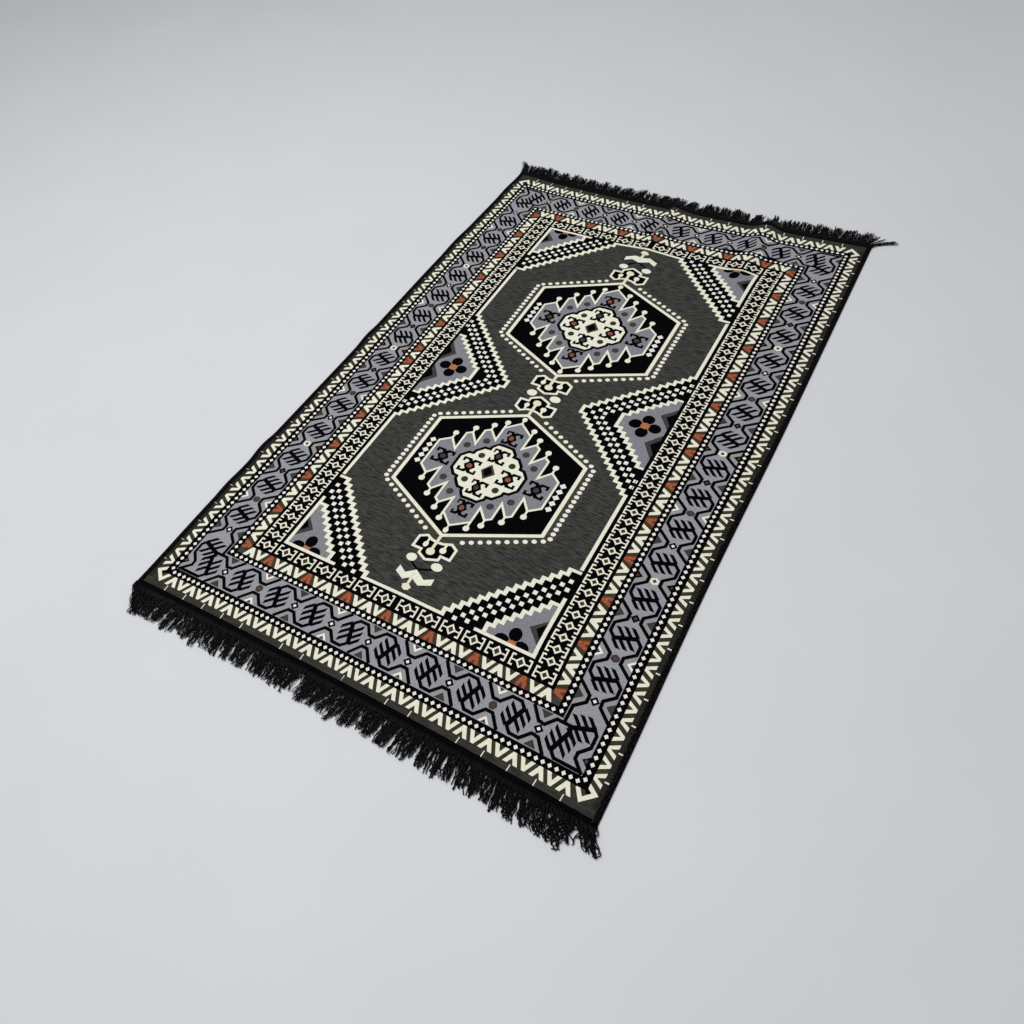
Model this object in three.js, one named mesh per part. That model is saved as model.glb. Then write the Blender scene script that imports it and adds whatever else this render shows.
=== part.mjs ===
// A flat-woven kilim rug lying on a floor: one woven cloth, an overcast binding along
// each long edge, and a fringe trim (a woven heading with cut yarn locks) at each end.
// Millimetres, +Z up. Sizes are laid out from the centre of the cloth, X across the rug
// and Y along it; the whole rug is then moved so that the origin is the bottom centre of its box.

import * as THREE from "three";

// Driving dimensions
const RUG_WIDTH = 1152;
const CLOTH_LENGTH = 1786;
const CLOTH_THICK = 3;
const BINDING_WIDTH = 13;
const BINDING_HEIGHT = 4;
const HEADING_WIDTH = 18;
const HEADING_HEIGHT = 4.2;
const PIECE_GAP = 0.3;

// How the cloth lies. The ends are drawn in at the middle, one far corner flares out,
// and the long edges wander a little.
const FAR_BOW = 16;
const NEAR_BOW = 8;
const CORNER_FLARE = 9;
const CORNER_FLARE_WIDTH = 190;
// side: -1 left, 1 right; at: middle of the stretch in Y; half: half its length; out: how far outwards.
const EDGE_WANDERS = [
  { side: -1, at: 390, half: 520, out: 5 },
  { side: 1, at: -350, half: 520, out: -5 },
];

// Buckles that run in from the far end. at: the crest's place in X; half: half its width;
// rise: its height at the end; reach: how far in it has run when it is flat.
const BUCKLES = [
  { at: 280, half: 54, rise: 15, reach: 500 },
  { at: -10, half: 48, rise: 10, reach: 440 },
];

// Short humps where the overcast left edge lifts off the floor. at: middle in Y;
// half: half its length; rise: its height at the edge.
const EDGE_HUMPS = [
  { at: -452, half: 60, rise: 6 },
  { at: -585, half: 60, rise: 3 },
  { at: 6, half: 60, rise: 4.5 },
  { at: 488, half: 90, rise: 3.5 },
  { at: 800, half: 75, rise: 3 },
];
const EDGE_HUMP_INWARD = 60;

// Fringe locks
const LOCKS_PER_END = 96;
const LOCK_LENGTH = 46;
const LOCK_LENGTH_SPREAD = 10;
const LOCK_ROOT_WIDTH = 7.8;
const LOCK_TIP_WIDTH = 2.8;
const LOCK_TIP_HEIGHT = 1.6;
const LOCK_STEPS = 3;
const LOCK_SWAY = 7;
const LOCK_JITTER = 1.6;
// How far the corner locks of each end splay outwards, in X.
const SPLAY = {
  near: { left: -8, right: 12 },
  far: { left: 24, right: 26 },
};

// Stations of the cloth's mesh across the rug, closer where it buckles: each stretch runs
// from the last one's end and is cut in equal parts.
const ACROSS_STRETCHES = [
  { to: -504, parts: 4 },
  { to: -386, parts: 4 },
  { to: -66, parts: 3 },
  { to: 46, parts: 8 },
  { to: 222, parts: 2 },
  { to: 338, parts: 8 },
  { to: 500, parts: 2 },
];
const ROWS_ALONG = 44;

const HALF_WIDTH = RUG_WIDTH / 2;
const HALF_LENGTH = CLOTH_LENGTH / 2;
const BINDING_INNER = HALF_WIDTH - BINDING_WIDTH;
const CLOTH_HALF_WIDTH = BINDING_INNER - PIECE_GAP;

const clamp01 = (t) => Math.min(1, Math.max(0, t));
const smooth = (t) => clamp01(t) ** 2 * (3 - 2 * clamp01(t));
const hump = (t) => (Math.abs(t) < 1 ? 0.5 * (1 + Math.cos(Math.PI * t)) : 0);
const between = (a, b, t) => a + (b - a) * t;

// The same scattered number from 0 to 1 for the same pair of whole numbers.
function scatter(i, j) {
  const s = Math.sin(i * 127.1 + j * 311.7) * 43758.5453;
  return s - Math.floor(s);
}

// Height of the underside above the floor at a place on the flat cloth.
function lift(across, along) {
  let height = 0;
  for (const b of BUCKLES) {
    const flattening = smooth(1 - (HALF_LENGTH - along) / b.reach);
    height += b.rise * flattening * hump((across - b.at) / b.half);
  }
  const inwards = 1 - (across + HALF_WIDTH) / EDGE_HUMP_INWARD;
  for (const h of EDGE_HUMPS) {
    height += h.rise * hump((along - h.at) / h.half) * smooth(inwards);
  }
  return height;
}

// Where a place on the flat cloth lies once its ends are drawn in and its edges wander.
function layOut(across, along) {
  let x = across;
  for (const w of EDGE_WANDERS) {
    const nearness = (1 + (w.side * across) / HALF_WIDTH) / 2;
    x += w.side * w.out * hump((along - w.at) / w.half) * nearness ** 2;
  }
  const endwards = (along / HALF_LENGTH) ** 2;
  const middle = 1 - (across / HALF_WIDTH) ** 2;
  const bow = along > 0 ? -FAR_BOW : NEAR_BOW;
  let y = along + bow * endwards * middle;
  if (along > 0) {
    y += CORNER_FLARE * endwards ** 8 * smooth(1 - (across + HALF_WIDTH) / CORNER_FLARE_WIDTH);
  }
  return [x, y];
}

function stretches(from, list) {
  const found = [from];
  let start = from;
  for (const stretch of list) {
    for (let k = 1; k <= stretch.parts; k++) {
      found.push(between(start, stretch.to, k / stretch.parts));
    }
    start = stretch.to;
  }
  return found;
}

const ACROSS = stretches(-CLOTH_HALF_WIDTH, [...ACROSS_STRETCHES, { to: CLOTH_HALF_WIDTH, parts: 2 }]);
const ALONG = stretches(-HALF_LENGTH, [{ to: HALF_LENGTH, parts: ROWS_ALONG }]);

// A closed mesh from points and faces of three or four corners, anticlockwise seen from outside.
function closedMesh(points, faces) {
  const triangles = faces.flatMap((f) => (f.length === 4 ? [f[0], f[1], f[2], f[0], f[2], f[3]] : f));
  const geometry = new THREE.BufferGeometry();
  geometry.setAttribute("position", new THREE.Float32BufferAttribute(points.flat(), 3));
  geometry.setIndex(triangles);
  geometry.computeVertexNormals();
  return geometry;
}

// A slab over a plan. places: x, y, the underside's height z and the thickness there;
// quads: four places each, anticlockwise seen from above. Edges that only one quad has get a wall.
function slabGeometry(places, quads) {
  const under = places.map((p) => [p.x, p.y, p.z]);
  const over = places.map((p) => [p.x, p.y, p.z + p.thick]);
  const above = (i) => places.length + i;
  const faces = [];
  const edges = new Map();
  for (const quad of quads) {
    faces.push(quad.map(above), [...quad].reverse());
    quad.forEach((from, k) => {
      const to = quad[(k + 1) % 4];
      if (!edges.delete(`${to} ${from}`)) edges.set(`${from} ${to}`, [from, to]);
    });
  }
  for (const [from, to] of edges.values()) faces.push([from, to, above(to), above(from)]);
  return closedMesh([...under, ...over], faces);
}

// The woven cloth: an even sheet over its own lifted underside.
function clothGeometry() {
  const places = [];
  for (const v of ALONG) {
    for (const u of ACROSS) {
      const [x, y] = layOut(u, v);
      places.push({ x, y, z: lift(u, v), thick: CLOTH_THICK });
    }
  }
  const columns = ACROSS.length;
  const quads = [];
  for (let r = 0; r + 1 < ALONG.length; r++) {
    for (let c = 0; c + 1 < columns; c++) {
      const corner = r * columns + c;
      quads.push([corner, corner + 1, corner + columns + 1, corner + columns]);
    }
  }
  return slabGeometry(places, quads);
}

// Section of an overcast edge, from the cloth outwards: shares of its width and height.
const BINDING_SECTION = [
  { out: 0, up: 0 },
  { out: 0.75, up: 0 },
  { out: 1, up: 0.35 },
  { out: 0.96, up: 0.72 },
  { out: 0.7, up: 1 },
  { out: 0.25, up: 1 },
  { out: 0, up: 0.85 },
];

// The overcast edge: a rounded bead beside the cloth that rises and falls with it.
function bindingGeometry(side) {
  const points = [];
  for (const v of ALONG) {
    const base = lift(side * BINDING_INNER, v);
    for (const s of BINDING_SECTION) {
      const u = side * (BINDING_INNER + s.out * BINDING_WIDTH);
      points.push([...layOut(u, v), base + s.up * BINDING_HEIGHT]);
    }
  }
  const ring = BINDING_SECTION.length;
  const faces = [];
  for (let r = 0; r + 1 < ALONG.length; r++) {
    for (let k = 0; k < ring; k++) {
      const next = (k + 1) % ring;
      faces.push([r * ring + k, (r + 1) * ring + k, (r + 1) * ring + next, r * ring + next]);
    }
  }
  const last = (ALONG.length - 1) * ring;
  for (let k = 1; k + 1 < ring; k++) {
    faces.push([0, k, k + 1]);
    faces.push([last, last + k + 1, last + k]);
  }
  return closedMesh(points, side > 0 ? faces : faces.map((f) => [...f].reverse()));
}

// One lock in plan, from its root to its tip: its two sides across the rug at each step
// outwards from the cloth's end.
function lockSteps(index, end, splay) {
  const root = -HALF_WIDTH + (RUG_WIDTH * (index + 0.5)) / LOCKS_PER_END;
  const share = root / HALF_WIDTH;
  const length = LOCK_LENGTH + LOCK_LENGTH_SPREAD * (scatter(index, end) - 0.5);
  const sway = LOCK_SWAY * Math.sin(root / 97 + 2 * end) + 0.6 * LOCK_SWAY * Math.sin(root / 31 + end);
  const jitter = LOCK_JITTER * (scatter(index, end + 7) - 0.5);
  const splayed = share < 0 ? -splay.left * share ** 12 : splay.right * share ** 12;
  const bend = sway * (1 - share ** 4) + jitter + splayed;
  const steps = [];
  for (let s = 0; s <= LOCK_STEPS; s++) {
    const t = s / LOCK_STEPS;
    const middle = root + bend * t ** 1.5;
    const half = between(LOCK_ROOT_WIDTH, LOCK_TIP_WIDTH, t) / 2;
    steps.push({ left: middle - half, right: middle + half, out: HEADING_WIDTH + length * t });
  }
  return steps;
}

// Where the rug's end runs: along the straight lines of the cloth's mesh, then past the bindings.
function endLine(across, end) {
  if (Math.abs(across) > CLOTH_HALF_WIDTH) return layOut(across, end * HALF_LENGTH)[1];
  const k = Math.max(1, ACROSS.findIndex((station) => station >= across));
  const t = (across - ACROSS[k - 1]) / (ACROSS[k] - ACROSS[k - 1]);
  const before = layOut(ACROSS[k - 1], end * HALF_LENGTH);
  const after = layOut(ACROSS[k], end * HALF_LENGTH);
  return between(before[1], after[1], t);
}

// A fringe trim: the heading and its locks as one comb, thickest at the heading. It is
// lifted with the cloth's end, and its locks come down to the floor as they run out.
function fringeGeometry(end, splay) {
  const places = [];
  const quads = [];
  const place = (across, out) => {
    const t = clamp01((out - HEADING_WIDTH) / LOCK_LENGTH);
    const z = lift(across, end * HALF_LENGTH) * smooth(1 - 1.4 * t);
    const x = layOut(across, end * HALF_LENGTH)[0];
    const thick = between(HEADING_HEIGHT, LOCK_TIP_HEIGHT, t);
    return places.push({ x, y: endLine(across, end) + end * out, z, thick }) - 1;
  };
  const locks = Array.from({ length: LOCKS_PER_END }, (_, i) => lockSteps(i, end, splay));
  const roots = [-HALF_WIDTH, ...locks.flatMap((steps) => [steps[0].left, steps[0].right]), HALF_WIDTH];
  const inner = roots.map((u) => place(u, PIECE_GAP));
  const outer = roots.map((u) => place(u, HEADING_WIDTH));
  for (let j = 0; j + 1 < roots.length; j++) quads.push([inner[j], inner[j + 1], outer[j + 1], outer[j]]);
  locks.forEach((steps, i) => {
    let base = [outer[2 * i + 1], outer[2 * i + 2]];
    for (const step of steps.slice(1)) {
      const next = [place(step.left, step.out), place(step.right, step.out)];
      quads.push([base[0], base[1], next[1], next[0]]);
      base = next;
    }
  });
  return slabGeometry(places, end > 0 ? quads : quads.map((quad) => [...quad].reverse()));
}

const wovenCloth = new THREE.MeshStandardMaterial({ color: "#3b3b36", roughness: 0.95, metalness: 0 });
const overcastYarn = new THREE.MeshStandardMaterial({ color: "#111111", roughness: 0.9, metalness: 0 });
const fringeYarn = new THREE.MeshStandardMaterial({ color: "#0b0b0c", roughness: 0.65, metalness: 0 });

function piece(name, geometry, material) {
  const mesh = new THREE.Mesh(geometry, material);
  mesh.name = name;
  return mesh;
}

const rug = new THREE.Group();
rug.add(piece("rug_cloth", clothGeometry(), wovenCloth));
rug.add(piece("binding_left", bindingGeometry(-1), overcastYarn));
rug.add(piece("binding_right", bindingGeometry(1), overcastYarn));
rug.add(piece("fringe_near", fringeGeometry(-1, SPLAY.near), fringeYarn));
rug.add(piece("fringe_far", fringeGeometry(1, SPLAY.far), fringeYarn));

const middleOfBox = new THREE.Box3().setFromObject(rug).getCenter(new THREE.Vector3());
rug.position.set(-middleOfBox.x, -middleOfBox.y, 0);

export default rug;
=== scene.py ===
# %% [markdown]
# # A flat-woven kilim rug
# The rug lies on a pale floor: one thin woven cloth with a border of many bands and two
# medallions, a black overcast edge along each long side, and a black yarn fringe sewn to
# each end. The frame is loaded first, and the box of its cloth sets where the model's middle lies.

# %% Load the frame
import math
import bpy
import numpy as np
from mathutils import Matrix, Vector
from mathutils.geometry import delaunay_2d_cdt


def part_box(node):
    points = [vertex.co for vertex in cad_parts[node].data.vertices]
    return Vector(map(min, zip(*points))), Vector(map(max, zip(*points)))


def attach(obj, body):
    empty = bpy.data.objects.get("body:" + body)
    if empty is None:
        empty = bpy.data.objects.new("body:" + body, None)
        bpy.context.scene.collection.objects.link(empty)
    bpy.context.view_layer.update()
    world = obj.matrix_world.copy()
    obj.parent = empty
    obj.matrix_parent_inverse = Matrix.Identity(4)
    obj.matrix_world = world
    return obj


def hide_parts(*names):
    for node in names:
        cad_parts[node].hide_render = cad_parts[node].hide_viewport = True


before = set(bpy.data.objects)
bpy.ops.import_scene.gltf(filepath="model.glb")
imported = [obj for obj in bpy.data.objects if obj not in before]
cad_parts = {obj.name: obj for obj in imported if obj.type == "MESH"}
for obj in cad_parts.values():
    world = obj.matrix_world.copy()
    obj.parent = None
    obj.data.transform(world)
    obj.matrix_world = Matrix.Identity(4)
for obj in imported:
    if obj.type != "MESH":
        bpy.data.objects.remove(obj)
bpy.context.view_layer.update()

# %% [markdown]
# ## How the rug lies
# A real kilim never lies as a rectangle. Its ends are drawn in at the middle, where the
# wefts pull harder, its long edges wander, and it was folded, so two soft buckles run in
# from the far end and the left edge lifts here and there. All pieces follow the same two
# functions, one for the plan and one for the height, so they stay together.
# The sizes are those of the frame's construction, in millimetres.

# %% Sizes and the lie of the cloth
RUG_WIDTH = 1152
CLOTH_LENGTH = 1786
CLOTH_THICK = 3
BINDING_WIDTH = 13
BINDING_HEIGHT = 4
HEADING_WIDTH = 18
HEADING_HEIGHT = 4.2
PIECE_GAP = 0.3
HALF_WIDTH = RUG_WIDTH / 2
HALF_LENGTH = CLOTH_LENGTH / 2
BINDING_INNER = HALF_WIDTH - BINDING_WIDTH
CLOTH_HALF_WIDTH = BINDING_INNER - PIECE_GAP

FAR_BOW = 16
NEAR_BOW = 8
NEAR_CORNER_PULL = 4.6
NEAR_CORNER_REACH = 260
CORNER_FLARE = 9
CORNER_FLARE_WIDTH = 190
# side, middle of the stretch, half its length, how far it stands out
EDGE_WANDERS = [(-1, 390, 520, 5), (1, -350, 520, -5)]
# place of the crest across, width of its left and its right flank, height at the far end, reach inwards
BUCKLES = [(280, 54, 54, 15, 500), (-12, 20, 88, 14, 440)]
# a fold mark that runs nearly the whole length: place across, width of its two flanks, height
FOLD_MARK = (-12, 14, 60, 2.5)
FOLD_ENDS_AT = 900
FOLD_FADES_OVER = 300
# place along the left edge, half length, height
EDGE_HUMPS = [(-452, 60, 6), (-585, 60, 3), (6, 60, 4.5), (488, 90, 3.5), (800, 75, 3)]
EDGE_HUMP_INWARD = 60


def smooth(t):
    """3t^2 - 2t^3 between 0 and 1: an even start and an even stop."""
    t = np.clip(t, 0, 1)
    return t * t * (3 - 2 * t)


def hump(t):
    """A raised cosine, 1 at the middle and 0 from -1 outwards and from 1 outwards."""
    return np.where(np.abs(t) < 1, 0.5 * (1 + np.cos(np.pi * np.clip(t, -1, 1))), 0.0)


print("cloth with its two edges:", RUG_WIDTH, "by", CLOTH_LENGTH, "mm")

# %% Height and plan
def crest(across, at, left, right):
    """A buckle's section: a raised cosine where its flanks are alike, and otherwise an S-shaped left
    flank and a right flank that falls away as (1 - t)^2."""
    falling = np.clip(1 - (across - at) / right, 0, 1) ** 2
    if left == right:
        return hump((across - at) / left)
    return np.where(across < at, smooth(1 - (at - across) / left), falling)


def lift(across, along):
    """Height of the underside: each buckle's rise times its section and its run-in, plus the fold
    mark, plus the raised cosines of the left edge's humps, which fade inwards."""
    height = np.zeros(np.broadcast(across, along).shape)
    for at, left, right, rise, reach in BUCKLES:
        height = height + rise * smooth(1 - (HALF_LENGTH - along) / reach) * crest(across, at, left, right)
    at, left, right, rise = FOLD_MARK
    fading = smooth((FOLD_ENDS_AT - np.abs(along)) / FOLD_FADES_OVER)
    height = height + rise * crest(across, at, left, right) * fading
    inwards = smooth(1 - (across + HALF_WIDTH) / EDGE_HUMP_INWARD)
    for at, half, rise in EDGE_HUMPS:
        height = height + rise * hump((along - at) / half) * inwards
    return height


def lay_out(across, along):
    """Place on the floor: the long edges wander in X by raised cosines, the near left corner is pulled
    in, the ends bow in Y by 1 - share^2 of the width, and the far left corner flares out."""
    x = across + np.zeros(np.shape(along))
    for side, at, half, out in EDGE_WANDERS:
        x = x + side * out * hump((along - at) / half) * ((1 + side * across / HALF_WIDTH) / 2) ** 2
    leftwards = np.clip((1 - across / HALF_WIDTH) / 2, 0, 1) ** 3
    x = x + NEAR_CORNER_PULL * hump((along + HALF_LENGTH) / NEAR_CORNER_REACH) * leftwards
    endwards = (along / HALF_LENGTH) ** 2
    bow = np.where(along > 0, -FAR_BOW, NEAR_BOW)
    y = along + bow * endwards * (1 - (across / HALF_WIDTH) ** 2)
    flare = smooth(1 - (across + HALF_WIDTH) / CORNER_FLARE_WIDTH)
    return x, y + np.where(along > 0, CORNER_FLARE * endwards ** 8 * flare, 0.0)


print("the buckles rise", [rise for _, _, _, rise, _ in BUCKLES], "mm at the far end")

# %% Middle of the cloth
def middle_of_frame():
    """How far the construction's centre was moved: the cloth's own box set against the frame's."""
    run = np.linspace(-1, 1, 801)
    sides = np.concatenate([lay_out(s * CLOTH_HALF_WIDTH, run * HALF_LENGTH)[0] for s in (-1, 1)])
    ends = np.concatenate([lay_out(run * CLOTH_HALF_WIDTH, s * HALF_LENGTH)[1] for s in (-1, 1)])
    low, high = (1000 * np.array(corner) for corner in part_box("rug_cloth"))
    own = np.array([sides.min() + sides.max(), ends.min() + ends.max()]) / 2
    return np.array([*own, 0]) - np.array([*(low[:2] + high[:2]) / 2, 0])


MOVED_BY = middle_of_frame()
print("the cloth's centre lies off the frame's centre by", -MOVED_BY, "mm")


def to_frame(points):
    """Millimetres from the cloth's centre to metres in the frame."""
    return (np.asarray(points, float) - MOVED_BY) / 1000


# %% [markdown]
# ## Camera, floor and light
# The camera stands at the near left of the rug's middle line and looks down along its
# length, so the far end looks much shorter. Its place was worked out from the border's
# four corners. The light is one large soft panel overhead with an even pale sky, as in a
# plain studio, because flat cloth needs little modelling from light.

# %% Camera
# the eye's place in millimetres from the cloth's centre, and the picture's right and up directions
EYE = (759.4, -1237.2, 1413.8)
LOOK_RIGHT = Vector((0.86683, 0.48873, -0.09878))
LOOK_UP = Vector((-0.33827, 0.72197, 0.60359))
LENS_MM = 27.58
SENSOR_MM = 36


def make_camera():
    data = bpy.data.cameras.new("photo_camera")
    data.lens = LENS_MM
    data.sensor_width = SENSOR_MM
    camera = bpy.data.objects.new("photo_camera", data)
    right = LOOK_RIGHT.normalized()
    back = right.cross(LOOK_UP).normalized()
    turned = Matrix((right, back.cross(right), back)).transposed().to_4x4()
    camera.matrix_world = Matrix.Translation(Vector(to_frame(EYE))) @ turned
    bpy.context.collection.objects.link(camera)
    bpy.context.scene.camera = camera
    print("the camera stands at", [round(place, 3) for place in camera.matrix_world.translation], "metres")


make_camera()
bpy.context.scene.view_settings.view_transform = "Standard"

# %% Colour and node helpers
def linear(hex_colour):
    """sRGB hex to linear red, green, blue, alpha."""
    parts = np.array([int(hex_colour[i:i + 2], 16) / 255 for i in (1, 3, 5)])
    value = np.where(parts <= 0.04045, parts / 12.92, ((parts + 0.055) / 1.055) ** 2.4)
    return (*value.tolist(), 1.0)


def add(tree, kind, links=(), inputs=(), **settings):
    """A node with its settings, its input values and its links, as (input, node, output)."""
    node = tree.nodes.new(kind)
    for name, value in settings.items():
        setattr(node, name, value)
    for name, value in inputs:
        node.inputs[name].default_value = value
    for name, source, output in links:
        tree.links.new(source.outputs[output], node.inputs[name])
    return node


def new_material(name):
    material = bpy.data.materials.new(name)
    material.use_nodes = True
    material.node_tree.nodes.clear()
    return material, material.node_tree


# %% Floor
# metres
FLOOR_HALF = 6.0
FLOOR_DROP = 0.0004


def floor_paint():
    """Pale grey matt floor paint, rolled on, so it has a very faint mottle a third of a metre across."""
    material, tree = new_material("pale_floor_paint")
    place = add(tree, "ShaderNodeTexCoord")
    mottle = add(tree, "ShaderNodeTexNoise", [("Vector", place, "Object")],
                 [("Scale", 3.0), ("Detail", 3.0)])
    colour = add(tree, "ShaderNodeMix", [("Factor", mottle, "Fac")], data_type="RGBA")
    colour.inputs["A"].default_value = linear("#cbcdd0")
    colour.inputs["B"].default_value = linear("#d2d3d6")
    shader = add(tree, "ShaderNodeBsdfPrincipled", inputs=[("Roughness", 0.6)])
    tree.links.new(colour.outputs["Result"], shader.inputs["Base Color"])
    out = add(tree, "ShaderNodeOutputMaterial")
    tree.links.new(shader.outputs[0], out.inputs["Surface"])
    return material


def make_floor():
    mesh = bpy.data.meshes.new("studio_floor")
    ways = ((-1, -1), (1, -1), (1, 1), (-1, 1))
    corners = [(x * FLOOR_HALF, y * FLOOR_HALF, -FLOOR_DROP) for x, y in ways]
    mesh.from_pydata(corners, [], [(0, 1, 2, 3)])
    mesh.materials.append(floor_paint())
    floor = bpy.data.objects.new("studio_floor", mesh)
    bpy.context.collection.objects.link(floor)


make_floor()
print("a floor", 2 * FLOOR_HALF, "m wide")

# %% Light
# metres, and watts for the panel
PANEL_AT = (-1.2, -0.5, 4.4)
PANEL_SIZE = (2.2, 2.2)
PANEL_WATTS = 141
SKY_STRENGTH = 0.45


def make_panel():
    data = bpy.data.lights.new("soft_panel", "AREA")
    data.shape = "RECTANGLE"
    data.size, data.size_y = PANEL_SIZE
    data.energy = PANEL_WATTS
    light = bpy.data.objects.new("soft_panel", data)
    light.location = PANEL_AT
    light.rotation_euler = (-Vector(PANEL_AT)).to_track_quat("-Z", "Y").to_euler()
    bpy.context.collection.objects.link(light)


def make_sky():
    world = bpy.data.worlds.new("studio_sky")
    world.use_nodes = True
    background = world.node_tree.nodes["Background"]
    background.inputs["Color"].default_value = linear("#fafcff")
    background.inputs["Strength"].default_value = SKY_STRENGTH
    bpy.context.scene.world = world


make_panel()
make_sky()
print("one panel of", PANEL_WATTS, "W and a pale sky")

# %% [markdown]
# ## Yarns
# The cloth is flat woven: dyed wefts cover the warps, which show as fine ribs that run
# the length of the rug. A kilim has one yarn for each colour, so each colour is a material
# of its own, and all come from one function. Its pattern coordinates are millimetres on
# the flat cloth, kept in the mesh, so ribs and streaks follow the cloth where it bows.
# The ribs are about 3 mm apart; the single wefts are finer than a pixel and are drawn
# about twice too coarse. Their relief is a bump, and it is also painted into the colour as
# painted shade, darker between the ribs and wefts and lighter where they cross, so that it
# shows as a faint grain. Short loose fibres make the yarn quite matt, so roughness is high
# and there is hardly any mirror shine.

# %% Yarn materials
RIB_MM = 3.2
WEFT_MM = 1.9
# the scale at which Blender's wave texture has one wave for each unit of its coordinates
WAVE_TURN = 0.31416
# painted shade of the weave: how much lighter rib and weft are where they cross, and the mean of rib times
# weft
WEAVE_PAINTED_SHADE = 0.9
CROSSING_MEAN = 0.25
STREAK_SPREAD = 0.22
WEAVE_STRENGTH = 0.35
WEAVE_DEPTH = 0.0006
WEAVE_ROUGHNESS = 0.95
WEAVE_GLOSS = 0.015


def yarn(name, base, streaked, streak_mm=(34, 1.8), contrast=1.0):
    """Dyed chenille weft: from its base colour to its streaked one by noise stretched along the weft, as
    (length, width), plus painted shade of the weave, rib wave times weft wave, less their mean so
    that the colour stays."""
    material, tree = new_material(name)
    place = add(tree, "ShaderNodeAttribute", attribute_name="flat_place")
    wide = add(tree, "ShaderNodeMapping", [("Vector", place, "Vector")],
               [("Scale", (1 / streak_mm[0], 1 / streak_mm[1], 1))])
    streaks = add(tree, "ShaderNodeTexNoise", [("Vector", wide, "Vector")],
                  [("Scale", 1.0), ("Detail", 2.0), ("Roughness", 0.6), ("Distortion", 0.5)])
    low, high = 0.5 - STREAK_SPREAD / contrast, 0.5 + STREAK_SPREAD / contrast
    darker = -WEAVE_PAINTED_SHADE * CROSSING_MEAN
    spread = add(tree, "ShaderNodeMapRange", [("Value", streaks, "Fac")],
                 [("From Min", low), ("From Max", high), ("To Min", darker), ("To Max", 1 + darker)])
    rib = add(tree, "ShaderNodeTexWave", [("Vector", place, "Vector")],
              [("Scale", WAVE_TURN / RIB_MM), ("Distortion", 0.6), ("Detail", 1.0)], bands_direction="X")
    weft = add(tree, "ShaderNodeTexWave", [("Vector", place, "Vector")],
               [("Scale", WAVE_TURN / WEFT_MM), ("Distortion", 1.2), ("Detail", 1.0)], bands_direction="Y")
    # painted shade: darker in the hollows between rib and weft and lighter where they cross, in place of
    # the relief's own light and shade
    painted_relief_shade = add(tree, "ShaderNodeMath", [(0, rib, "Fac"), (1, weft, "Fac")], operation="MULTIPLY")
    tone = add(tree, "ShaderNodeMath", [(0, painted_relief_shade, "Value"), (2, spread, "Result")],
               [(1, WEAVE_PAINTED_SHADE)], operation="MULTIPLY_ADD")
    colour = add(tree, "ShaderNodeMix", [("Factor", tone, "Value")], data_type="RGBA")
    colour.inputs["A"].default_value = linear(base)
    colour.inputs["B"].default_value = linear(streaked)
    relief = add(tree, "ShaderNodeMath", [(0, rib, "Fac"), (1, weft, "Fac")], operation="ADD")
    bump = add(tree, "ShaderNodeBump", [("Height", relief, "Value")],
               [("Strength", WEAVE_STRENGTH), ("Distance", WEAVE_DEPTH)])
    shader = add(tree, "ShaderNodeBsdfPrincipled", [("Normal", bump, "Normal")],
                 [("Roughness", WEAVE_ROUGHNESS), ("Specular IOR Level", WEAVE_GLOSS)])
    tree.links.new(colour.outputs["Result"], shader.inputs["Base Color"])
    out = add(tree, "ShaderNodeOutputMaterial")
    tree.links.new(shader.outputs[0], out.inputs["Surface"])
    return material


print("ribs", RIB_MM, "mm and wefts", WEFT_MM, "mm apart")

# %% Yarn colours
# each yarn's name, its two colours, and where they differ its streaks' size in mm and contrast
YARNS = {
    "black": yarn("black_weft", "#030304", "#09090b"),
    "cream": yarn("cream_weft", "#d1ceb7", "#f8f6e6", (5, 1.6)),
    "straw": yarn("straw_weft", "#d9d1b2", "#ece6cc", (5, 1.6)),
    "white": yarn("white_weft", "#dad8ce", "#f2efe6", (5, 1.6)),
    "lavender": yarn("lavender_grey_weft", "#7b7b82", "#a8a8ad", (3.4, 2.3)),
    "heather": yarn("lilac_grey_weft", "#68686d", "#949499", (3.4, 2.3), 1.3),
    "charcoal": yarn("charcoal_weft", "#1b1c19", "#4e4f4b", (26, 2.2), 1.5),
    "ground": yarn("dark_olive_grey_weft", "#21201d", "#43423d", (30, 2.0), 1.2),
    "dusk": yarn("dark_brown_edge_weft", "#1b1a17", "#33312c", (30, 2.0)),
    "olive": yarn("olive_weft", "#2f2c1e", "#43402e", (12, 1.8)),
    "moss": yarn("dark_olive_weft", "#2c2b24", "#4f4e43", (30, 2.2), 1.2),
    "rust": yarn("rust_weft", "#763a28", "#b96845", (5, 3.4), 1.5),
    "amber": yarn("amber_weft", "#965330", "#c47f50", (4, 2.4)),
    "rose": yarn("brown_rose_weft", "#5e352d", "#9d6452", (4, 2.4)),
    "maroon": yarn("maroon_weft", "#48241f", "#7a4534", (5, 3.0), 1.3),
    "brown": yarn("brown_weft", "#533a2c", "#684c3b", (8, 1.8)),
    "umber": yarn("purple_brown_weft", "#3c3334", "#4d4143", (5, 1.8)),
    "mauve": yarn("mauve_grey_weft", "#342e30", "#483f41", (5, 2.6)),
    "slate": yarn("dark_grey_weft", "#2f2f30", "#4a4a4b", (6, 2.4)),
    "stone": yarn("warm_grey_weft", "#858485", "#9e9d9d", (9, 2.2)),
}
print(len(YARNS), "yarn colours")

# %% [markdown]
# ## Drawing the pattern
# The pattern is woven as flat patches of colour with straight or stepped edges, laid out
# alike in all four quarters. So only the far right quarter is drawn, as a pile of simple
# polygons from the outside inwards, each over the ones before it, and mirrored later.
# The sizes are read off the rug in millimetres from its middle. Short rows of numbers are
# motif outlines, and everything that repeats is a loop.

# %% Patches
patches = []


def patch(colour, points):
    patches.append((colour, np.array(points, float)))


def block(colour, left, right, low, high):
    patch(colour, [(left, low), (right, low), (right, high), (left, high)])


def diamond(colour, x, y, half_x, half_y):
    patch(colour, [(x - half_x, y), (x, y - half_y), (x + half_x, y), (x, y + half_y)])


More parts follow.
